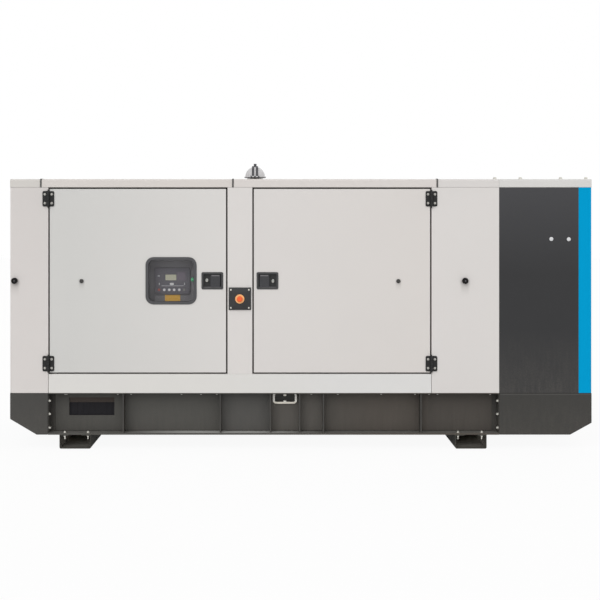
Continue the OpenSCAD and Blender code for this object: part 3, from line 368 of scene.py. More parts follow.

# Skid rails: side channels of folded plate with welded gussets and a thick sole, sprayed the same dark grey. The
# soles' tops carry a painted highlight, palest before the left door; two narrow bays carry painted light; the web's
# foot, the gussets' front edges and their sides carry painted shade; the web darkens towards the left end, and the
# hot end is dusty.
rail_low, rail_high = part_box("base_rail_front")
SOLE, FLANGE, GUSSET_STEP, WEB, FAR, SOLE_LIGHT_X = 0.014, 0.007, 0.008, 0.010, 3.0, -0.62
BASE_DUST = (0.46, 0.3)
sole_top, web_face, bay_top = rail_low.z + SOLE, rail_high.y - WEB, rail_high.z - FLANGE - 0.001
gusset_face = rail_low.y + GUSSET_STEP
on_web, bay = (web_face - 0.002, web_face + 0.002), (sole_top, bay_top)
for node, side in (("base_rail_front", 1), ("base_rail_back", -1)):
    rail_paint, tree, shader, place = finish(node + " paint", sheen=0.12)
    along = split(tree, place)["X"]
    tone = mixed(tree, ramp(tree, along, -0.4, 0.6), srgb(81, 80, 77), srgb(80, 75, 70))
    coat = coated(tree, place, tone, 0.16, 0.5)
    # The soles' tops take a painted highlight, palest before the left door.
    from_sole_light = calc(tree, "ABSOLUTE", calc(tree, "SUBTRACT", along, SOLE_LIGHT_X))
    sole_light = ramp(tree, from_sole_light, 0.2, 0.85, 1.0, 0.0, "SMOOTHSTEP")
    lit_sole_tone = mixed(tree, sole_light, srgb(106, 105, 102), srgb(186, 186, 183))
    end_tone = mixed(tree, ramp(tree, along, -1.6, -1.95), coat["Colour"], srgb(76, 75, 72))
    patches = []
    # Patches: a painted highlight on the soles' tops, painted light on two narrow bays, darker towards the left end,
    # browner with dust at the hot end, a painted shadow along the web's foot and painted shade on the gussets' front
    # edges.
    for x0, x1, (y0, y1), (z0, z1), tint in (
            (-FAR, FAR, (rail_low.y + 0.003, web_face), (sole_top - 0.0015, sole_top + 0.001), lit_sole_tone),
            (-0.243, 0.186, on_web, bay, srgb(91, 88, 84)),
            (-FAR, -1.6, on_web, bay, end_tone),
            (-0.63, -0.243, on_web, bay, srgb(84, 83, 81)),
            (1.02, FAR, on_web, bay, srgb(75, 71, 67)),
            (-FAR, FAR, on_web, (sole_top + 0.001, sole_top + 0.006), srgb(40, 39, 37)),
            (-FAR, FAR, (gusset_face - 0.001, gusset_face + 0.002), (sole_top + 0.001, bay_top),
             srgb(70, 69, 67))):
        near, far = sorted((side * y0, side * y1))
        patches.append(((x0, near, z0), (x1, far, z1), tint))
    colour = patched(tree, place, coat["Colour"], patches)
    # Faces turned to the ends, the gussets' sides among them, take painted shade.
    faces = split(tree, add(tree, "ShaderNodeNewGeometry").outputs["Normal"])
    side_shade = ramp(tree, calc(tree, "ABSOLUTE", faces["X"]), 0.6, 0.8)
    shade_and_dirt_colour = mixed(tree, side_shade, colour, srgb(60, 58, 55))
    laid_on(tree, shader, dusted(tree, place, shade_and_dirt_colour, *BASE_DUST), coat)
    dressed(node, 0.0015, rail_paint)

# End skirts: closed plate boxes at both ends of the skid with sloped undersides, sprayed with the rails. The
# radiator end's skirt is a little darker and carries a painted highlight under its top edge.
skirt_paint, tree, shader, place = finish("skirt paint", sheen=0.12)
coat = coated(tree, place, srgb(73, 72, 70), 0.14, 0.5)
# The radiator end's skirt is a little darker, with a painted highlight under its top edge.
skirt_highlit_colour = patched(tree, place, coat["Colour"], [
    ((rail_high.x - 0.01, -FAR, 0.0), (FAR, FAR, 1.0), srgb(65, 64, 62)),
    ((rail_high.x + 0.008, -FAR, rail_high.z - 0.0145), (FAR, FAR, rail_high.z - 0.0085), srgb(80, 79, 77))])
laid_on(tree, shader, dusted(tree, place, skirt_highlit_colour, *BASE_DUST), coat)
dressed("base_ends", 0.005, skirt_paint)

# Joint angles: steel angle bars standing in the channels' ends, sprayed dark grey and dusty.
# They are bolted to the skirts and welded to the webs.
angle_paint = sprayed("angle bar paint", srgb(60, 59, 57), 0.6, clouds=0.3, dust_to=0.46, dust=0.5, sheen=0.1)
dressed("joint_angles", 0.001, angle_paint)

# Skid bolts: plated hexagon heads on washers, two in each pocket's flange with their ends below, three up each skirt
# joint, and the nuts of the canopy's holding-down bolts under the top flange.
fixing_heads, given, fixing_keys = node_group(
    "fixing heads", "Geometry",
    {"Geometry": "Geometry", "Head Radius": "Float", "Head Height": "Float", "Washer Radius": "Float",
     "Washer Height": "Float", "Sides": "Int", "Finish": "Material"}, {"Geometry": "Geometry"})


def cone(sides, bottom, top, depth, height=None):
    """A cone or cylinder in a fixing, raised to a height."""
    mesh = add(fixing_heads, "GeometryNodeMeshCone", {"Vertices": sides, "Radius Bottom": bottom, "Radius Top": top,
                                                      "Depth": depth}).outputs["Mesh"]
    if height is None:
        return mesh
    rise = add(fixing_heads, "ShaderNodeCombineXYZ", {"Z": height})
    return add(fixing_heads, "GeometryNodeTransform", {"Geometry": mesh, "Translation": rise.outputs[0]}).outputs[0]


def clad(group, instances, material):
    """Ends a geometry group with real instances in a material."""
    real = add(group, "GeometryNodeRealizeInstances", {0: instances})
    covered = add(group, "GeometryNodeSetMaterial", {"Geometry": real.outputs[0], "Material": material})
    add(group, "NodeGroupOutput", {0: covered.outputs[0]})


radius, height, seat = given["Head Radius"], given["Head Height"], given["Washer Height"]
fixing = add(fixing_heads, "GeometryNodeJoinGeometry")
for part in (cone(18, given["Washer Radius"], given["Washer Radius"], seat),
             cone(given["Sides"], radius, radius, height, seat),
             cone(given["Sides"], radius, calc(fixing_heads, "MULTIPLY", radius, 0.74),
                  calc(fixing_heads, "MULTIPLY", height, 0.25), calc(fixing_heads, "ADD", seat, height))):
    fixing_heads.links.new(part, fixing.inputs[0])
facing = add(fixing_heads, "GeometryNodeInputNamedAttribute", {"Name": "facing"}, data_type="FLOAT_VECTOR")
aimed = add(fixing_heads, "FunctionNodeAlignRotationToVector", {"Vector": facing.outputs[0]}, axis="Z")
spread = add(fixing_heads, "GeometryNodeInstanceOnPoints",
             {"Points": given["Geometry"], "Instance": fixing.outputs[0], "Rotation": aimed.outputs[0]})
clad(fixing_heads, spread.outputs[0], given["Finish"])


def grown(name, mesh, group, keys, values, body):
    """A piece that a geometry group makes from a mesh and these inputs."""
    piece = in_scene(name, mesh)
    maker = piece.modifiers.new(group.name, "NODES")
    maker.node_group = group
    for label, value in values.items():
        maker[keys[label]] = value
    settled(piece)
    carried(piece, body)


def fixings(name, spots, material, head, washer, body="generator", sides=6):
    """Bolt heads at spots, each a place and a direction, as one piece; head and washer are radius and height."""
    mesh = bpy.data.meshes.new(name)
    mesh.from_pydata([place for place, way in spots], [], [])
    mesh.attributes.new("facing", "FLOAT_VECTOR", "POINT").data.foreach_set(
        "vector", [c for place, way in spots for c in way])
    grown(name, mesh, fixing_heads, fixing_keys,
          {"Head Radius": head[0], "Head Height": head[1], "Washer Radius": washer[0], "Washer Height": washer[1],
           "Sides": sides, "Finish": material}, body)


def metal(name, colour, roughness, mottle=0.12):
    """Bare or plated metal with fine grain and uneven gloss."""
    return sprayed(name, colour, roughness, mottle, depth=0.00008, sheen=0.5, grain=900.0, metallic=1.0)


def skinned(name, rings, material, body, round_below=0.0):
    """A closed piece from rings of places, with its sides smooth over edges below an angle."""
    work = bmesh.new()
    rings = [[work.verts.new(place) for place in ring] for ring in rings]
    count = len(rings[0])
    for lower, upper in zip(rings, rings[1:]):
        for i in range(count):
            after = (i + 1) % count
            work.faces.new((lower[i], lower[after], upper[after], upper[i])).smooth = round_below > 0.0
    work.faces.new(list(reversed(rings[0])))
    work.faces.new(rings[-1])
    bmesh.ops.recalc_face_normals(work, faces=work.faces)
    if round_below:
        for edge in work.edges:
            edge.smooth = edge.calc_face_angle(0.0) < round_below
    mesh = bpy.data.meshes.new(name)
    work.to_mesh(mesh)
    work.free()
    mesh.materials.append(material)
    carried(in_scene(name, mesh), body)


def turned(name, profile, sides, origin, axis, material, body="generator"):
    """A piece turned on a lathe: radius and height pairs along an axis, closed at both ends."""
    way = Vector(axis).to_track_quat("Z", "Y")
    turns = [2 * math.pi * i / sides for i in range(sides)]
    skinned(name, [[Vector(origin) + way @ Vector((radius * math.cos(turn), radius * math.sin(turn), height))
                    for turn in turns] for radius, height in profile], material, body, math.radians(35))


plated = metal("zinc plate", srgb(205, 203, 196), 0.38)
dull_zinc = metal("dull zinc", srgb(172, 170, 165), 0.48)
FRONT, BACK, UP, DOWN, LEFT, RIGHT = (0, -1, 0), (0, 1, 0), (0, 0, 1), (0, 0, -1), (-1, 0, 0), (1, 0, 0)
ANGLE_PLATE, POCKET_PLATE = 0.005, 0.008
BOLT_END = [(0.0068, 0.006), (0.0068, 0.0285), (0.0055, 0.0300)]
lip_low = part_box("fork_pocket_left")[1].z - POCKET_PLATE
spots, nuts, ends = [], [], []
for sign in (1, -1):
    for x, way in ((rail_low.x + ANGLE_PLATE, RIGHT), (rail_high.x - ANGLE_PLATE, LEFT)):
        for z in (0.376, 0.271, 0.163):
            spots.append(((x, sign * (rail_low.y + 0.026), z), way))
    for x in (-1.869, -1.685, 1.244, 1.432):
        spots.append(((x, sign * (rail_low.y + 0.020), sole_top), UP))
        ends.append((x, sign * (rail_low.y + 0.020), lip_low))
        spots.append((ends[-1], DOWN))
    for x in (-1.867, -1.854, -1.450, -1.344, -0.945, -0.791, -0.666, 0.084, 0.293, 0.637, 0.905, 1.015, 1.083,
              1.500):
        nuts.append(((x, sign * (rail_low.y + 0.022), rail_high.z - FLANGE), DOWN))
fixings("skid_bolts", spots, plated, (0.011, 0.009), (0.016, 0.003))
fixings("canopy_nuts", nuts, dull_zinc, (0.0075, 0.006), (0.010, 0.0015))
for count, place in enumerate(ends):
    turned(f"bolt_end_{count}", BOLT_END, 20, place, DOWN, plated)

# Cable curtain: two rows of overlapping rubber strips behind the cable opening in the front rail; their near-black
# rubber is painted shade for the dark inside the opening. They hang from a flat bar that is welded to the back of the
# web.
def moulded(name, colour, roughness, clouds=0.06, relief=0.00008, sheen=0.4):
    """Moulded plastic or rubber with a fine spark-eroded grain."""
    return sprayed(name, colour, roughness, clouds, depth=relief, sheen=sheen, grain=1400.0)


def plate(name, x0, x1, z0, z1, y, depth, corner, material, body="generator"):
    """A thin plate on a front face: rounded corners, softened front edge."""
    corner = min(corner, (x1 - x0) / 2.01, (z1 - z0) / 2.01)
    outline = []
    for cx, cz, start in ((x1 - corner, z1 - corner, 0), (x0 + corner, z1 - corner, 90),
                          (x0 + corner, z0 + corner, 180), (x1 - corner, z0 + corner, 270)):
        for step in range(5):
            turn = math.radians(start + 22.5 * step)
            outline.append((cx, cz, math.cos(turn), math.sin(turn)))
    soft = min(depth, corner) * 0.4
    skinned(name, [[(cx + (corner - inset) * c, y_ring, cz + (corner - inset) * s) for cx, cz, c, s in outline]
                   for inset, y_ring in ((0.0, y), (0.0, y - depth + soft), (soft, y - depth))],
            material, body)


bar_rows, given, row_keys = node_group(
    "bar rows", "Geometry",
    {"Geometry": "Geometry", "Count": "Int", "First": "Vector", "Pitch": "Vector", "Size": "Vector",
     "Finish": "Material"}, {"Geometry": "Geometry"})
row = add(bar_rows, "GeometryNodeMeshLine", {"Count": given["Count"], "Start Location": given["First"],
                                             "Offset": given["Pitch"]}, mode="OFFSET")
bar = add(bar_rows, "GeometryNodeMeshCube", {"Size": given["Size"]})
spread = add(bar_rows, "GeometryNodeInstanceOnPoints", {"Points": row.outputs[0], "Instance": bar.outputs[0]})
clad(bar_rows, spread.outputs[0], given["Finish"])


def bars(name, count, first, pitch, size, material, body):
    """A row of like bars as one piece on a body."""
    grown(name, bpy.data.meshes.new(name), bar_rows, row_keys,
          {"Count": count, "First": first, "Pitch": pitch, "Size": size, "Finish": material}, body)


bar_paint = sprayed("curtain bar paint", srgb(70, 63, 59), 0.6, clouds=0.3, sheen=0.1)
# The strips' near-black rubber is painted shade.
shade_strip_rubber = moulded("curtain rubber painted shade", srgb(38, 37, 40), 0.7, clouds=0.25, relief=0.0002, sheen=0.1)
CABLE_X0, CABLE_X1, CABLE_TOP, STRIP_W = -1.848, -1.488, 0.391, 0.050
web_back = rail_high.y
plate("curtain_bar", CABLE_X0 - 0.02, CABLE_X1 + 0.02, CABLE_TOP - 0.040, CABLE_TOP + 0.016, web_back + 0.0045,
      0.0043, 0.003, bar_paint)
for name, count, x, y in (("front", 9, CABLE_X0 - 0.008, web_back + 0.0062),
                          ("back", 8, CABLE_X0 + 0.016, web_back + 0.0092)):
    bars("curtain_shade_strips_" + name, count, (x, y, CABLE_TOP - 0.072), (STRIP_W - 0.003, 0, 0),
         (STRIP_W - 0.004, 0.0025, 0.160), shade_strip_rubber, "generator")

# Drain: a cast rubber rim with a nib in each long edge, round an opening in the front rail, and behind it the tank's
# drain cock under its pale cap. The rim's upper part carries painted light, and its top bar and the opening inside it
# carry painted shade.
RIM_W, COCK_UP, NIB_HALF = 0.0205, 0.024, 0.013
rubber_rim, tree, shader, place = finish("pale cast rubber", sheen=0.3)
coat = coated(tree, place, srgb(236, 231, 219), 0.12, 0.6, 700.0)
low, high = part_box("drain_rim")
# Painted light on the rim's upper part, painted shade on its top bar and inside it.
rim_light_and_shade = patched(tree, place, coat["Colour"], [
    ((-FAR, -FAR, low.z + 0.017), (FAR, FAR, high.z + 0.001), srgb(253, 251, 244)),
    ((low.x + RIM_W, low.y - 0.001, low.z + 0.0155), (high.x - RIM_W, FAR, high.z + 0.001), srgb(66, 62, 58))])
laid_on(tree, shader, dusted(tree, place, rim_light_and_shade, 0.6, 0.08, srgb(120, 112, 100)), coat, 0.0003)
dressed("drain_rim", 0.0025, rubber_rim, segments=3)
pale_rubber = moulded("pale rubber", srgb(248, 245, 236), 0.6, clouds=0.12, relief=0.0003)
middle = (low + high) / 2
turned("drain_cock", [(0.013, 0.0), (0.013, -0.006), (0.010, -0.006), (0.010, -0.020), (0.007, -0.022)], 6,
       (middle.x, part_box("fuel_tank")[0].y, middle.z + COCK_UP), BACK, pale_rubber)
for name, z0, z1 in (("lower", low.z + 0.010, low.z + 0.026), ("upper", high.z - 0.028, high.z - 0.010)):
    plate("drain_nib_" + name, middle.x - NIB_HALF, middle.x + NIB_HALF, z0, z1, low.y + 0.012, 0.012, 0.008,
          pale_rubber)

# Fuel tank and machine bed: a welded steel tank between the rails and two beams on it that carry the machine.
# Both are sprayed charcoal, and so is the plate that closes the cable well from below.
tank_paint = sprayed("tank charcoal", srgb(60, 60, 59), 0.5, clouds=0.12, dust_to=0.5, dust=0.4, sheen=0.15)
for node in ("fuel_tank", "machine_bed", "well_plate"):
    dressed(node, 0.003, tank_paint)

# Alternator: a ribbed cast barrel with its terminal box, on feet that are bolted to the bed.
# It is sprayed dark grey over a coarse casting.
cast_paint = sprayed("cast iron paint", srgb(72, 75, 79), 0.5, clouds=0.16, depth=0.0014, grain=90.0)
dressed("alternator", 0.004, cast_paint)

# Engine: cast block with oil pan, filters and feet, one head and valve cover for each cylinder, manifolds along both
# sides, and a belt-driven fan. The block is sprayed grey; the exhaust side has burnt to a brown bloom.
engine_paint, tree, shader, place = finish("engine grey", sheen=0.4)
coat = coated(tree, place, srgb(118, 122, 122), 0.18, 0.42, 120.0)
smear = ramp(tree, noise(tree, place, 5.0, 6.0, 0.65), 0.55, 0.72)
laid_on(tree, shader, mixed(tree, smear, coat["Colour"], srgb(48, 44, 40)), coat, 0.001)
burnt_iron, tree, shader, place = finish("burnt manifold iron", Metallic=0.35)
bloom = mixed(tree, noise(tree, place, 7.0, 6.0), srgb(70, 60, 54), srgb(128, 104, 86))
coat = coated(tree, place, bloom, 0.3, 0.7, 140.0)
laid_on(tree, shader, coat["Colour"], coat, 0.0012)
fan_plastic = sprayed("moulded fan black", srgb(38, 39, 40), 0.45, clouds=0.08, sheen=0.4)
dressed("engine", 0.005, engine_paint)
dressed("engine_heads", 0.004, engine_paint)
dressed("manifolds", 0.004, burnt_iron)
dressed("engine_fan", 0.002, fan_plastic)

# Radiator: a finned core in a steel frame that stands on the bed, with the fan's round shroud and a filler neck.
# All of it is sprayed black.
fin_black, tree, shader, place = finish("radiator black", sheen=0.35)
coat = coated(tree, place, srgb(50, 51, 53), 0.14, 0.5)
fins = add(tree, "ShaderNodeTexWave", {"Vector": place, "Scale": 46.0, "Distortion": 0.6, "Detail": 1.0},
           wave_type="BANDS", bands_direction="Y")
laid_on(tree, shader, coat["Colour"], {"Roughness": coat["Roughness"], "Height": fins.outputs["Fac"]}, 0.002, 0.7)
dressed("radiator", 0.004, fin_black)

# Silencer: a rolled drum with end caps, hung from the roof by two straps, sprayed with heat-proof aluminium paint
# that dulls in bands.
drum_silver = sprayed("heat-proof silver", srgb(168, 166, 160), 0.5, clouds=0.22, depth=0.0003, sheen=0.5,
                      grain=400.0, metallic=0.6)
dressed("silencer", 0.006, drum_silver, segments=3)

# Control cubicle: a folded sheet steel box on two legs behind the window, sprayed grey.
# It stands on the bed and carries the controller on its front.
FINE = 0.00004
# The cubicle's grey is painted light: paler than its own, to make up for the shade behind the window.
cubicle_paint = sprayed("cubicle grey", srgb(154, 152, 155), 0.6, clouds=0.05, depth=FINE, sheen=0.15)
dressed("control_cubicle", 0.004, cubicle_paint)

# Controller: a moulded case with a recessed screen, six rubber keys in a row under a mimic line. Beside it
# stands a pilot lamp on a tall socket. The screen is a grey-green panel, unlit.
# The case is painted paler than its own: painted light for the shade behind the window.
case_plastic = sprayed("moulded case", srgb(120, 118, 124), 0.6, clouds=0.04, depth=FINE, sheen=0.15)
dressed("controller", 0.003, case_plastic)
# The screen's grey-green is also painted paler than its own: painted light.
screen_grey = moulded("screen grey-green", srgb(208, 207, 184), 0.3)
panel_dark = moulded("panel dark", srgb(128, 120, 130), 0.4)
mark_white = moulded("printed white", srgb(232, 232, 232), 0.5)
key_white = moulded("key white", srgb(250, 248, 250), 0.5)
key_red = moulded("key red", srgb(192, 112, 104), 0.5)
key_green = moulded("key green", srgb(150, 148, 146), 0.5)
label_orange = moulded("plain orange plate", srgb(255, 200, 96), 0.45)
low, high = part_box("controller")
mid = (low + high) / 2
face, cubicle_face = low.y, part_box("control_cubicle")[0].y
SCREEN_SUNK, KEYS_DOWN = 0.003, 0.071
for name, x0, x1, z0, z1, y, depth, corner, material in (
        ("screen", -0.0555, 0.0315, 0.0055, 0.0505, face + SCREEN_SUNK, 0.001, 0.002, screen_grey),
        ("screen_side", 0.038, 0.106, 0.004, 0.070, face, 0.0012, 0.004, panel_dark),
        ("mimic_line", -0.088, 0.090, -0.0405, -0.0375, face, 0.0006, 0.001, mark_white),
        ("mark_start", -0.1065, -0.1015, -0.033, -0.015, face, 0.0007, 0.006, mark_white),
        ("mark_load", -0.020, 0.012, -0.033, -0.015, face, 0.0007, 0.006, mark_white),
        ("mark_mains", 0.0955, 0.1005, -0.034, -0.014, face, 0.0007, 0.020 / 3, mark_white),
        ("mark_arrow", -0.117, -0.099, 0.037, 0.043, face, 0.0007, 0.002, mark_white)):
    plate(name, mid.x + x0, mid.x + x1, mid.z + z0, mid.z + z1, y, depth, corner, material)
for name, x, cap in (("key_stop", -0.106, key_red), ("key_manual", -0.064, key_white),
                     ("key_test", -0.024, key_white), ("key_auto", 0.015, key_white),
                     ("key_mute", 0.056, key_white), ("key_start", 0.095, key_green)):
    turned(name, [(0.0105, 0.0), (0.0105, 0.0025), (0.0094, 0.0042), (0.0065, 0.0048)], 28,
           (mid.x + x, face, mid.z - KEYS_DOWN), FRONT, cap)
plate("orange_plate", mid.x - 0.060, mid.x + 0.062, mid.z - 0.166, mid.z - 0.112, cubicle_face, 0.0012, 0.004,
      label_orange)
lamp_green, tree, shader, place = finish("green lamp lens", Roughness=0.2, **{"Emission Strength": 0.2})
glint = add(tree, "ShaderNodeTexVoronoi", {"Vector": place, "Scale": 420.0}).outputs["Distance"]
facets = mixed(tree, glint, srgb(72, 166, 114), srgb(112, 200, 150))
tree.links.new(facets, shader.inputs["Base Color"])
tree.links.new(facets, shader.inputs["Emission Color"])
bumped(tree, shader, glint, 0.0004)
lamp_seat = (mid.x + 0.166, cubicle_face, mid.z + 0.012)
turned("lamp_socket", [(0.019, 0.0), (0.019, 0.003), (0.016, 0.004), (0.016, 0.028), (0.012, 0.030)], 28, lamp_seat,
       FRONT, case_plastic)
turned("ready_lamp", [(0.017, 0.0301), (0.017, 0.034), (0.0155, 0.041), (0.010, 0.048), (0.004, 0.050)], 28,
       lamp_seat, FRONT, lamp_green)

# Canopy walls: folded steel panels with foam lining inside, sprayed a pale warm grey. Corner panels, the post between
# the doors, the panel beside the engine door, sills, the back doors and the wall at the inlet end. No two panels were
# sprayed to quite the same tone.
foam_lining, given, _ = node_group("foam lining", "Shader", ON_PAINT, {"Colour": "Color", "Height": "Float"})
tree = foam_lining
lumps = add(tree, "ShaderNodeTexVoronoi", {"Vector": given["Vector"], "Scale": 22.0, "Smoothness": 1.0},
            feature="SMOOTH_F1").outputs["Distance"]
grain = calc(tree, "MULTIPLY_ADD", noise(tree, given["Vector"], 420.0, 3.0), 0.5, 0.75)
# The foam is darker in the hollows between its lumps: painted shade.
shade = calc(tree, "MULTIPLY", ramp(tree, lumps, 0.0, 0.8, 1.25, 0.6), grain)
dark = add(tree, "ShaderNodeHueSaturation", {"Value": shade, "Color": given["Colour"]})
add(tree, "NodeGroupOutput", {"Colour": dark.outputs["Color"], "Height": calc(tree, "MULTIPLY", lumps, -1.0)})

# Seam shade: painted shade along the level seam between the walls and the roof.
seam_shade, given, _ = node_group(
    "seam shade", "Shader", {**ON_PAINT, "Height": "Float", "Amount": "Float"}, {"Colour": "Color"})
tree = seam_shade
rise = calc(tree, "SUBTRACT", split(tree, given["Vector"])["Z"], given["Height"])
close = ramp(tree, calc(tree, "ABSOLUTE", rise), 0.0015, 0.0035, 1.0, 0.0)
patchy = ramp(tree, noise(tree, given["Vector"], 6.0, 3.0), 0.0, 1.0, 0.6, 1.4)
laid = calc(tree, "MULTIPLY", close, patchy)
laid = calc(tree, "MULTIPLY", laid, given["Amount"], clamp=True)
add(tree, "NodeGroupOutput", {"Colour": mixed(tree, laid, given["Colour"], srgb(84, 78, 72))})

# Shadow and dirt run: painted shadow and dirt under a rubber fitting, darkest close under it.
shadow_and_dirt_run, given, _ = node_group(
    "shadow and dirt run", "Shader",
    {**ON_PAINT, "Fitting": "Vector", "Half Width": "Float", "Length": "Float", "Amount": "Float"},
    {"Colour": "Color"})
tree = shadow_and_dirt_run
parts = split(tree, vector_calc(tree, "SUBTRACT", given["Vector"], given["Fitting"])[0])
aside = calc(tree, "DIVIDE", calc(tree, "ABSOLUTE", parts["X"]), given["Half Width"])
middle_share = ramp(tree, aside, 0.4, 1.0, 1.0, 0.0, "SMOOTHSTEP")
down = ramp(tree, calc(tree, "DIVIDE", parts["Z"], given["Length"]), -1.0, 0.0)
shadow_and_dirt_share = calc(tree, "MULTIPLY", middle_share, calc(tree, "POWER", down, 2.0))
shadow_and_dirt_share = calc(tree, "MULTIPLY", shadow_and_dirt_share, ramp(tree, parts["Z"], 0.0, 0.012, 1.0, 0.0))
shadow_and_dirt_share = calc(tree, "MULTIPLY", shadow_and_dirt_share, given["Amount"], clamp=True)
add(tree, "NodeGroupOutput", {"Colour": mixed(tree, shadow_and_dirt_share, given["Colour"], srgb(84, 79, 74))})

LINING_X, LINING_Y, ROOF_SEAM = 0.0495, 0.7705, 2.0665
room = ((cad_box[0].x + LINING_X, -LINING_Y, 0.3), (cad_box[1].x - LINING_X, LINING_Y, ROOF_SEAM))
foam_grey = srgb(58, 58, 60)


def between(tree, share, first, second):
    """A value between two."""
    return add(tree, "ShaderNodeMix", {0: share, 2: first, 3: second}).outputs[0]


def lined(name, colour, box=room, clouds=0.035, dust=0.0, sheen=0.3, seam=0.0, fade=None, runs=()):
    """Sprayed sheet outside, with painted shade along the roof's seam, and foam lining on what lies inside a box.

    fade is an axis, a start and an end along it and a colour. runs are painted shadow and dirt runs, each a
    fitting's place, half a width, a length and an amount."""
    material, tree, shader, place = finish(name, sheen)
    if fade:
        axis, start, end, faded = fade
        colour = mixed(tree, ramp(tree, split(tree, place)[axis], start, end), colour, faded)
    coat = coated(tree, place, colour, clouds, 0.42)
    shade_and_dirt_colour = placed(tree, seam_shade, {"Vector": place, "Colour": coat["Colour"], "Height": ROOF_SEAM - 0.0005,
                                       "Amount": seam})["Colour"]
    for fitting, half_width, length, amount in runs:
        shade_and_dirt_colour = placed(tree, shadow_and_dirt_run, {"Vector": place, "Colour": shade_and_dirt_colour, "Fitting": fitting,
                                         "Half Width": half_width, "Length": length, "Amount": amount})["Colour"]
    dusty = dusted(tree, place, shade_and_dirt_colour, 0.95, dust)
    foam = placed(tree, foam_lining, {"Vector": place, "Colour": foam_grey})
    mask = placed(tree, within_box, {"Vector": place, "Low": box[0], "High": box[1]})["Mask"]
    relief = between(tree, mask, calc(tree, "MULTIPLY", coat["Height"], 0.02), foam["Height"])
    laid_on(tree, shader, mixed(tree, mask, dusty, foam["Colour"]),
            {"Roughness": between(tree, mask, coat["Roughness"], 0.95), "Height": relief}, 0.009)
    return material


canopy_grey = srgb(219, 215, 212)
SEAM = 0.22
buffer_low, buffer_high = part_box("door_buffers")
buffer_r, stop_z = (buffer_high.z - buffer_low.z) / 2, (buffer_low.z + buffer_high.z) / 2
buffer_xs = {"left": buffer_low.x + buffer_r, "right": buffer_high.x - buffer_r}
STUD_XS = {"door_left": -1.734, "door_right": 0.771}
BUFFER_RUN, STUD_RUN = (0.044, 0.140, 0.48), (0.028, 0.085, 0.42)
runs_on = {"corner_panels": [((buffer_xs["left"], 0, stop_z), *BUFFER_RUN)],
           "side_panels": [((buffer_xs["right"], 0, stop_z), *BUFFER_RUN)],
           "back_doors": [((x, 0, stop_z), *STUD_RUN) for x in STUD_XS.values()]}
for node, tone, fade in (("corner_panels", srgb(217, 212, 209), ("Z", 0.6, 2.0, srgb(212, 207, 204))),
                         ("centre_posts", srgb(221, 217, 214), None), ("side_panels", canopy_grey, None),
                         ("door_sills", srgb(222, 220, 216), ("X", -0.6, 0.3, srgb(222, 221, 219))),
                         ("end_wall_left", canopy_grey, None), ("back_doors", canopy_grey, None)):
    dressed(node, 0.002, lined(node + " paint", tone, dust=0.03, seam=SEAM, fade=fade, runs=runs_on.get(node, ())))
lining_felt = lined("back lining", foam_grey, ((-FAR, -1, 0), (FAR, LINING_Y, 3)))
dressed("back_liner", 0.003, lining_felt)

# Air inlet louvre: folded blades in a frame, let into the wall at the alternator end.
# It is sprayed with the canopy and a little darker for its dust.
louvre_paint = sprayed("louvre paint", srgb(200, 197, 193), 0.45, clouds=0.05)
dressed("inlet_louvre", 0.0004, louvre_paint)

# Radiator end: dark grey side panels and end wall, painted lighter towards the top as a painted sheen, with a barred
# discharge grille, and blue corner posts folded round the ends.
dark_paint = lined("radiator panel paint", srgb(58, 58, 59), clouds=0.10, dust=0.52, sheen=0.1,
                   fade=("Z", 1.38, 2.06, srgb(73, 73, 75)))
blue_paint = lined("corner post blue", srgb(0, 156, 208), clouds=0.04, sheen=0.03)
grille_paint = sprayed("grille black", srgb(46, 46, 48), 0.45, clouds=0.1)
for node, edge, paint in (("radiator_panels", 0.002, dark_paint), ("end_wall_right", 0.002, dark_paint),
                          ("corner_posts", 0.002, blue_paint), ("outlet_grille", 0.0012, grille_paint)):
    dressed(node, edge, paint)

# Lifting-point plugs: two pale moulded caps in each dark panel.
# They are pressed into holes high up, over the lifting points.
plug_white = moulded("plug white", srgb(216, 216, 218), 0.5)
PLUG = [(0.0155, 0.0), (0.0155, 0.002), (0.013, 0.0042), (0.006, 0.0055)]
low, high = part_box("radiator_panels")
for side, y, way in (("front", low.y, FRONT), ("back", high.y, BACK)):
    for spot, x, z in (("inner", 1.980, 1.658), ("outer", 2.118, 1.656)):
        turned(f"panel_plug_{side}_{spot}", PLUG, 32, (x, y, z), way, plug_white)

# Roof: folded sheet sections with soft long edges and foam under them, sprayed with the canopy; dusty rubber seals in
# the joints, and dome-headed bolts over the radiator.
for node, tone in (("roof_end", srgb(210, 206, 201)), ("roof_alternator", srgb(216, 210, 205)),
                   ("roof_engine", srgb(218, 212, 208)), ("roof_bridge", srgb(217, 213, 210)),
                   ("roof_radiator", srgb(215, 213, 210))):
    dressed(node, 0.003, lined(node + " paint", tone, seam=SEAM))
seal_rubber = moulded("seal rubber", srgb(98, 97, 95), 0.75, clouds=0.2, relief=0.0002, sheen=0.2)
dressed("roof_seals", 0.0015, seal_rubber)
roof_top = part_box("roof_radiator")[1].z
spots = [((x, y, roof_top), UP) for x in (1.541, 1.743, 2.063, 2.264) for y in (-0.780, 0.780)]
fixings("roof_bolts", spots, plated, (0.013, 0.011), (0.019, 0.003))

# Exhaust outlet: a steel pipe through a collar screwed to the roof, and a spun rain cap with yoke straps and a knob,
# hinged on the collar's lugs.
pipe_steel = metal("rolled pipe steel", srgb(176, 172, 166), 0.42, mottle=0.3)
dressed("exhaust_outlet", 0.0012, pipe_steel)


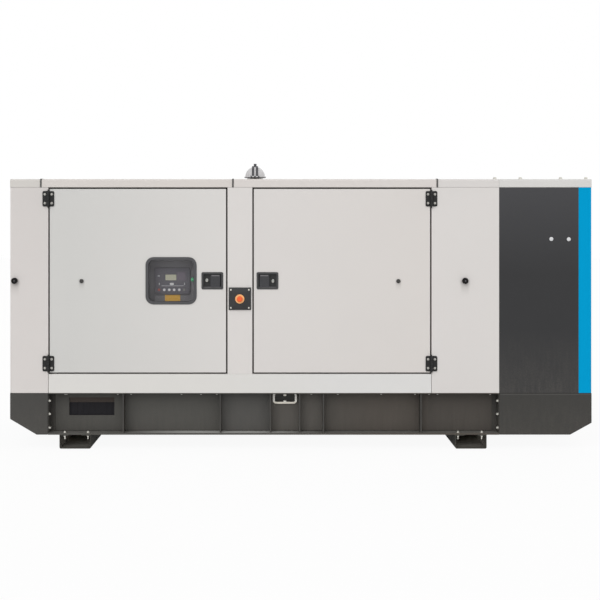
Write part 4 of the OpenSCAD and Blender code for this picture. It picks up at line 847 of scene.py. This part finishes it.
def zinc_and_iron(name, measure, limit, worn=()):
    """Spun zinc, with blackened iron where a measure of the place is over a limit, and patches of other colours."""
    material, tree, shader, place = finish(name, sheen=0.4)
    zinc = coated(tree, place, srgb(206, 205, 206), 0.3, 0.45, 500.0)
    iron = coated(tree, place, srgb(64, 64, 68), 0.5, 0.55, 500.0)
    fitted = ramp(tree, measure(tree, place), limit, limit + 0.001)
    pair = mixed(tree, fitted, zinc["Colour"], iron["Colour"])
    gloss = between(tree, fitted, zinc["Roughness"], iron["Roughness"])
    laid_on(tree, shader, patched(tree, place, pair, worn), {"Roughness": gloss, "Height": zinc["Height"]}, 0.00012)
    return material


COLLAR, DOME_R, KNOB_TOP = 0.006, 0.084, 0.109
low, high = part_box("exhaust_cap")
dome_z = high.z - KNOB_TOP
dome_centre = ((low.x + high.x) / 2, 0.0, dome_z)
rim_low = (-FAR, -FAR, low.z - 0.001)
# On the cap, the rim below the dome is zinc, mid grey along its lower edge.
cap_steel = zinc_and_iron(
    "spun cap zinc and iron", lambda tree, place: vector_calc(tree, "DISTANCE", place, dome_centre)["Value"],
    DOME_R + 0.0004, [(rim_low, (FAR, FAR, dome_z + 0.0005), srgb(206, 205, 206)),
                      (rim_low, (FAR, FAR, dome_z - 0.0065), srgb(128, 127, 128))])
dressed("exhaust_cap", 0.0012, cap_steel)
collar_steel = zinc_and_iron("collar zinc and iron", lambda tree, place: split(tree, place)["Z"],
                             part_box("roof_collar")[0].z + COLLAR + 0.001)
dressed("roof_collar", 0.0012, collar_steel)

# Door frames: rubber seals on a folded frame behind the gap round each leaf.
# The rubber is greyed by dust and light.
frame_rubber = moulded("frame rubber", srgb(82, 78, 75), 0.75, clouds=0.2, relief=0.0002, sheen=0.2)
dressed("door_frames", 0.003, frame_rubber)

# Front doors: foam-lined steel leaves with folded edges, hung on two hinges each and sprayed with the canopy.
# The left one is greyer towards its hinges.
LEAF_EDGE, LEAF_SKIN, FADE_FROM = 0.0455, 0.0075, 0.15
for node, hinge_tone, latch_tone in (("door_left", srgb(208, 207, 204), srgb(219, 216, 213)),
                                     ("door_right", canopy_grey, srgb(218, 213, 209))):
    low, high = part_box(node)
    lining = ((low.x + LEAF_EDGE, high.y - LEAF_SKIN, low.z + LEAF_EDGE),
              (high.x - LEAF_EDGE, high.y + 0.01, high.z - LEAF_EDGE))
    leaf_paint = lined(node + " paint", hinge_tone, lining, fade=("X", low.x + FADE_FROM, high.x, latch_tone),
                       runs=[((STUD_XS[node], 0, stop_z), *STUD_RUN)])
    dressed(node, 0.003, leaf_paint)

# Control window: a moulded dark bezel that is screwed into the left leaf.
# It holds a pane of smoked clear plastic.
bezel_plastic = moulded("bezel plastic", srgb(82, 82, 84), 0.5, sheen=0.2)
dressed("window_bezel", 0.003, bezel_plastic, segments=3)
smoked, tree, shader, place = finish("smoked pane", sheen=0.4, Alpha=0.10)
film = noise(tree, place, 14.0, 5.0)
tree.links.new(mixed(tree, film, srgb(46, 46, 48), srgb(64, 64, 66)), shader.inputs["Base Color"])
tree.links.new(ramp(tree, film, 0.0, 1.0, 0.05, 0.13), shader.inputs["Roughness"])
dressed("window_pane", 0.001, smoked)

# Hinges: pressed leaves with rolled knuckles on a pin, sprayed black.
# Each leaf is held by two plated bolts.
hinge_paint = sprayed("hinge black", srgb(44, 44, 44), 0.5, clouds=0.3, sheen=0.15)
for node in ("fixed_hinges", "hinges_left", "hinges_right"):
    dressed(node, 0.0012, hinge_paint)
pin_x = {joint["name"]: joint["pos_m"][0] for joint in record["behaviour"]["joints"] if "pos_m" in joint}
HALF_HINGE, KNUCKLE, BOLT_X, BOLT_Z = 0.061, 0.006, 0.027, 0.035
low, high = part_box("hinges_left")
leaf_top = high.y - KNUCKLE
bolts = {"generator": [], "left_door": [], "right_door": []}
for z_mid in (low.z + HALF_HINGE, high.z - HALF_HINGE):
    for dz in (-BOLT_Z, BOLT_Z):
        for leaf in ("left_door", "right_door"):
            for dx in (-BOLT_X, BOLT_X):
                x, z = pin_x[leaf + "_swing"] + dx, z_mid + dz
                body = leaf if (dx > 0) == (leaf == "left_door") else "generator"
                bolts[body].append(((x, leaf_top, z), FRONT))
                bolts["generator"].append(((x, -leaf_top, z), BACK))
for body, spots in bolts.items():
    fixings("hinge_bolts_" + body, spots, dull_zinc, (0.0070, 0.005), (0.0096, 0.0015), body)

# Latches: moulded pans let into the leaves, each with a spring paddle on a pin.
# A lock cylinder stands in a bright rosette beside each paddle.
latch_plastic = moulded("latch plastic", srgb(72, 72, 73), 0.5, sheen=0.2)
paddle_plastic = moulded("paddle plastic", srgb(68, 68, 72), 0.5, sheen=0.2)
# Pale plastic for painted highlights: the paddles' top lips, the pans' lower ledges and the buffers' centre dots.
highlight_plastic = moulded("latch plastic highlight", srgb(112, 110, 112), 0.5, sheen=0.2)
keyhole_shade_black = moulded("black rubber", srgb(34, 34, 34), 0.75, clouds=0.2, relief=0.0002, sheen=0.25)
chrome = metal("lock chrome", srgb(168, 171, 168), 0.3)
RIB_COUNT, RIB_PITCH, RIB_START, GRIP_EDGE, PAN_EDGE, LOCK_X = 9, 0.0078, 0.012, 0.007, 0.020, 0.043
BARREL = [(0.0088, 0.0), (0.0088, 0.0030), (0.0080, 0.0040), (0.0030, 0.0040)]
for node in ("latch_left", "latch_right", "back_latches"):
    dressed(node, 0.0015, latch_plastic)
for node in ("handle_left", "handle_right"):
    dressed(node, 0.0015, paddle_plastic)
    low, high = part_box(node)
    body, slot = body_of[node], slot_of[node]
    x0, x1 = low.x + GRIP_EDGE, high.x - GRIP_EDGE
    bars("grip_ribs_" + body, RIB_COUNT, ((x0 + x1) / 2, low.y - 0.0003, low.z + RIB_START), (0, 0, RIB_PITCH),
         (x1 - x0, 0.0018, 0.0030), latch_plastic, body)
    # A pale lip along each paddle's top edge: a painted highlight.
    plate("paddle_lip_" + body, x0, x1, high.z - 0.0115, high.z - 0.001, low.y, 0.0035, 0.002, highlight_plastic, body)
for node, side, lift in (("latch_left", -1, 0.006), ("latch_right", 1, 0.0)):
    low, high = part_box(node)
    body = body_of[node]
    # A pale ledge low in each pan: a painted highlight.
    plate("pan_ledge_" + body, low.x + PAN_EDGE, high.x - PAN_EDGE, low.z + 0.0147, low.z + 0.0198, low.y + 0.014,
          0.010, 0.002, highlight_plastic, body)
    x, z = (low.x + high.x) / 2 + side * LOCK_X, (low.z + high.z) / 2 + lift
    plate("lock_plate_" + body, x - 0.0105, x + 0.0105, z - 0.016, z + 0.013, low.y + 0.007, 0.0025, 0.010,
          dull_zinc, body)
    turned("lock_barrel_" + body, BARREL, 32, (x, low.y + 0.0045, z + 0.002), FRONT, chrome, body)
    # A black sheet in each lock for its keyway: painted shade.
    plate("key_slot_" + body, x - 0.0012, x + 0.0012, z - 0.003, z + 0.007, low.y + 0.0005, 0.0004, 0.001,
          keyhole_shade_black, body)

# Door stops: turned studs with black rubber caps on the leaves, which meet rubber buffers on the wall when the doors
# fold back.
stud_black = moulded("stud rubber", srgb(48, 46, 44), 0.4, clouds=0.2, sheen=0.5)
buffer_black = moulded("buffer rubber", srgb(18, 17, 17), 0.6, clouds=0.2, relief=0.0002, sheen=0.15)
EYE = [(0.0045, 0.0), (0.0045, 0.0002), (0.004, 0.0003)]
STUD = [(0.0165, 0.0), (0.0165, 0.004), (0.015, 0.0055), (0.015, 0.0085), (0.012, 0.011)]
STUD_DOWN = 0.003
dressed("door_buffers", 0.004, buffer_black, segments=3)
# Each buffer carries a pale dot on its face: a painted highlight.
for name, x in buffer_xs.items():
    for side, y, way in (("front", buffer_low.y, FRONT), ("back", buffer_high.y, BACK)):
        turned(f"buffer_eye_{side}_{name}", EYE, 20, (x, y, stop_z), way, highlight_plastic)
low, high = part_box("door_left")
stud_z = (low.z + high.z) / 2 - STUD_DOWN
for name, leaf, y, way, body in (("left", "door_left", low.y, FRONT, "left_door"),
                                 ("right", "door_right", low.y, FRONT, "right_door"),
                                 ("back_left", "door_left", -low.y, BACK, "generator"),
                                 ("back_right", "door_right", -low.y, BACK, "generator")):
    turned("stop_stud_" + name, STUD, 32, (STUD_XS[leaf], y, stud_z), way, stud_black, body)

# Emergency stop: a moulded box with sloped sides, held on the post by four screws.
# It carries a pale orange ring and a red mushroom button.
box_plastic = moulded("stop box plastic", srgb(57, 57, 58), 0.5, sheen=0.2)
ring_orange = moulded("ring orange", srgb(252, 188, 122), 0.4)
button_red = moulded("button red", srgb(242, 98, 38), 0.32, sheen=0.5)
for node, edge, plastic in (("e_stop_box", 0.003, box_plastic), ("e_stop_ring", 0.0015, ring_orange),
                            ("e_stop_button", 0.001, button_red)):
    dressed(node, edge, plastic)
low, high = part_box("e_stop_box")
middle = (low + high) / 2
SCREW_OUT, BOX_FLANGE = 0.070, 0.016
spots = [((middle.x + dx, high.y - BOX_FLANGE, middle.z + dz), FRONT)
         for dx in (-SCREW_OUT, SCREW_OUT) for dz in (-SCREW_OUT, SCREW_OUT)]
fixings("stop_box_screws", spots, plated, (0.0055, 0.004), (0.0075, 0.001), sides=16)
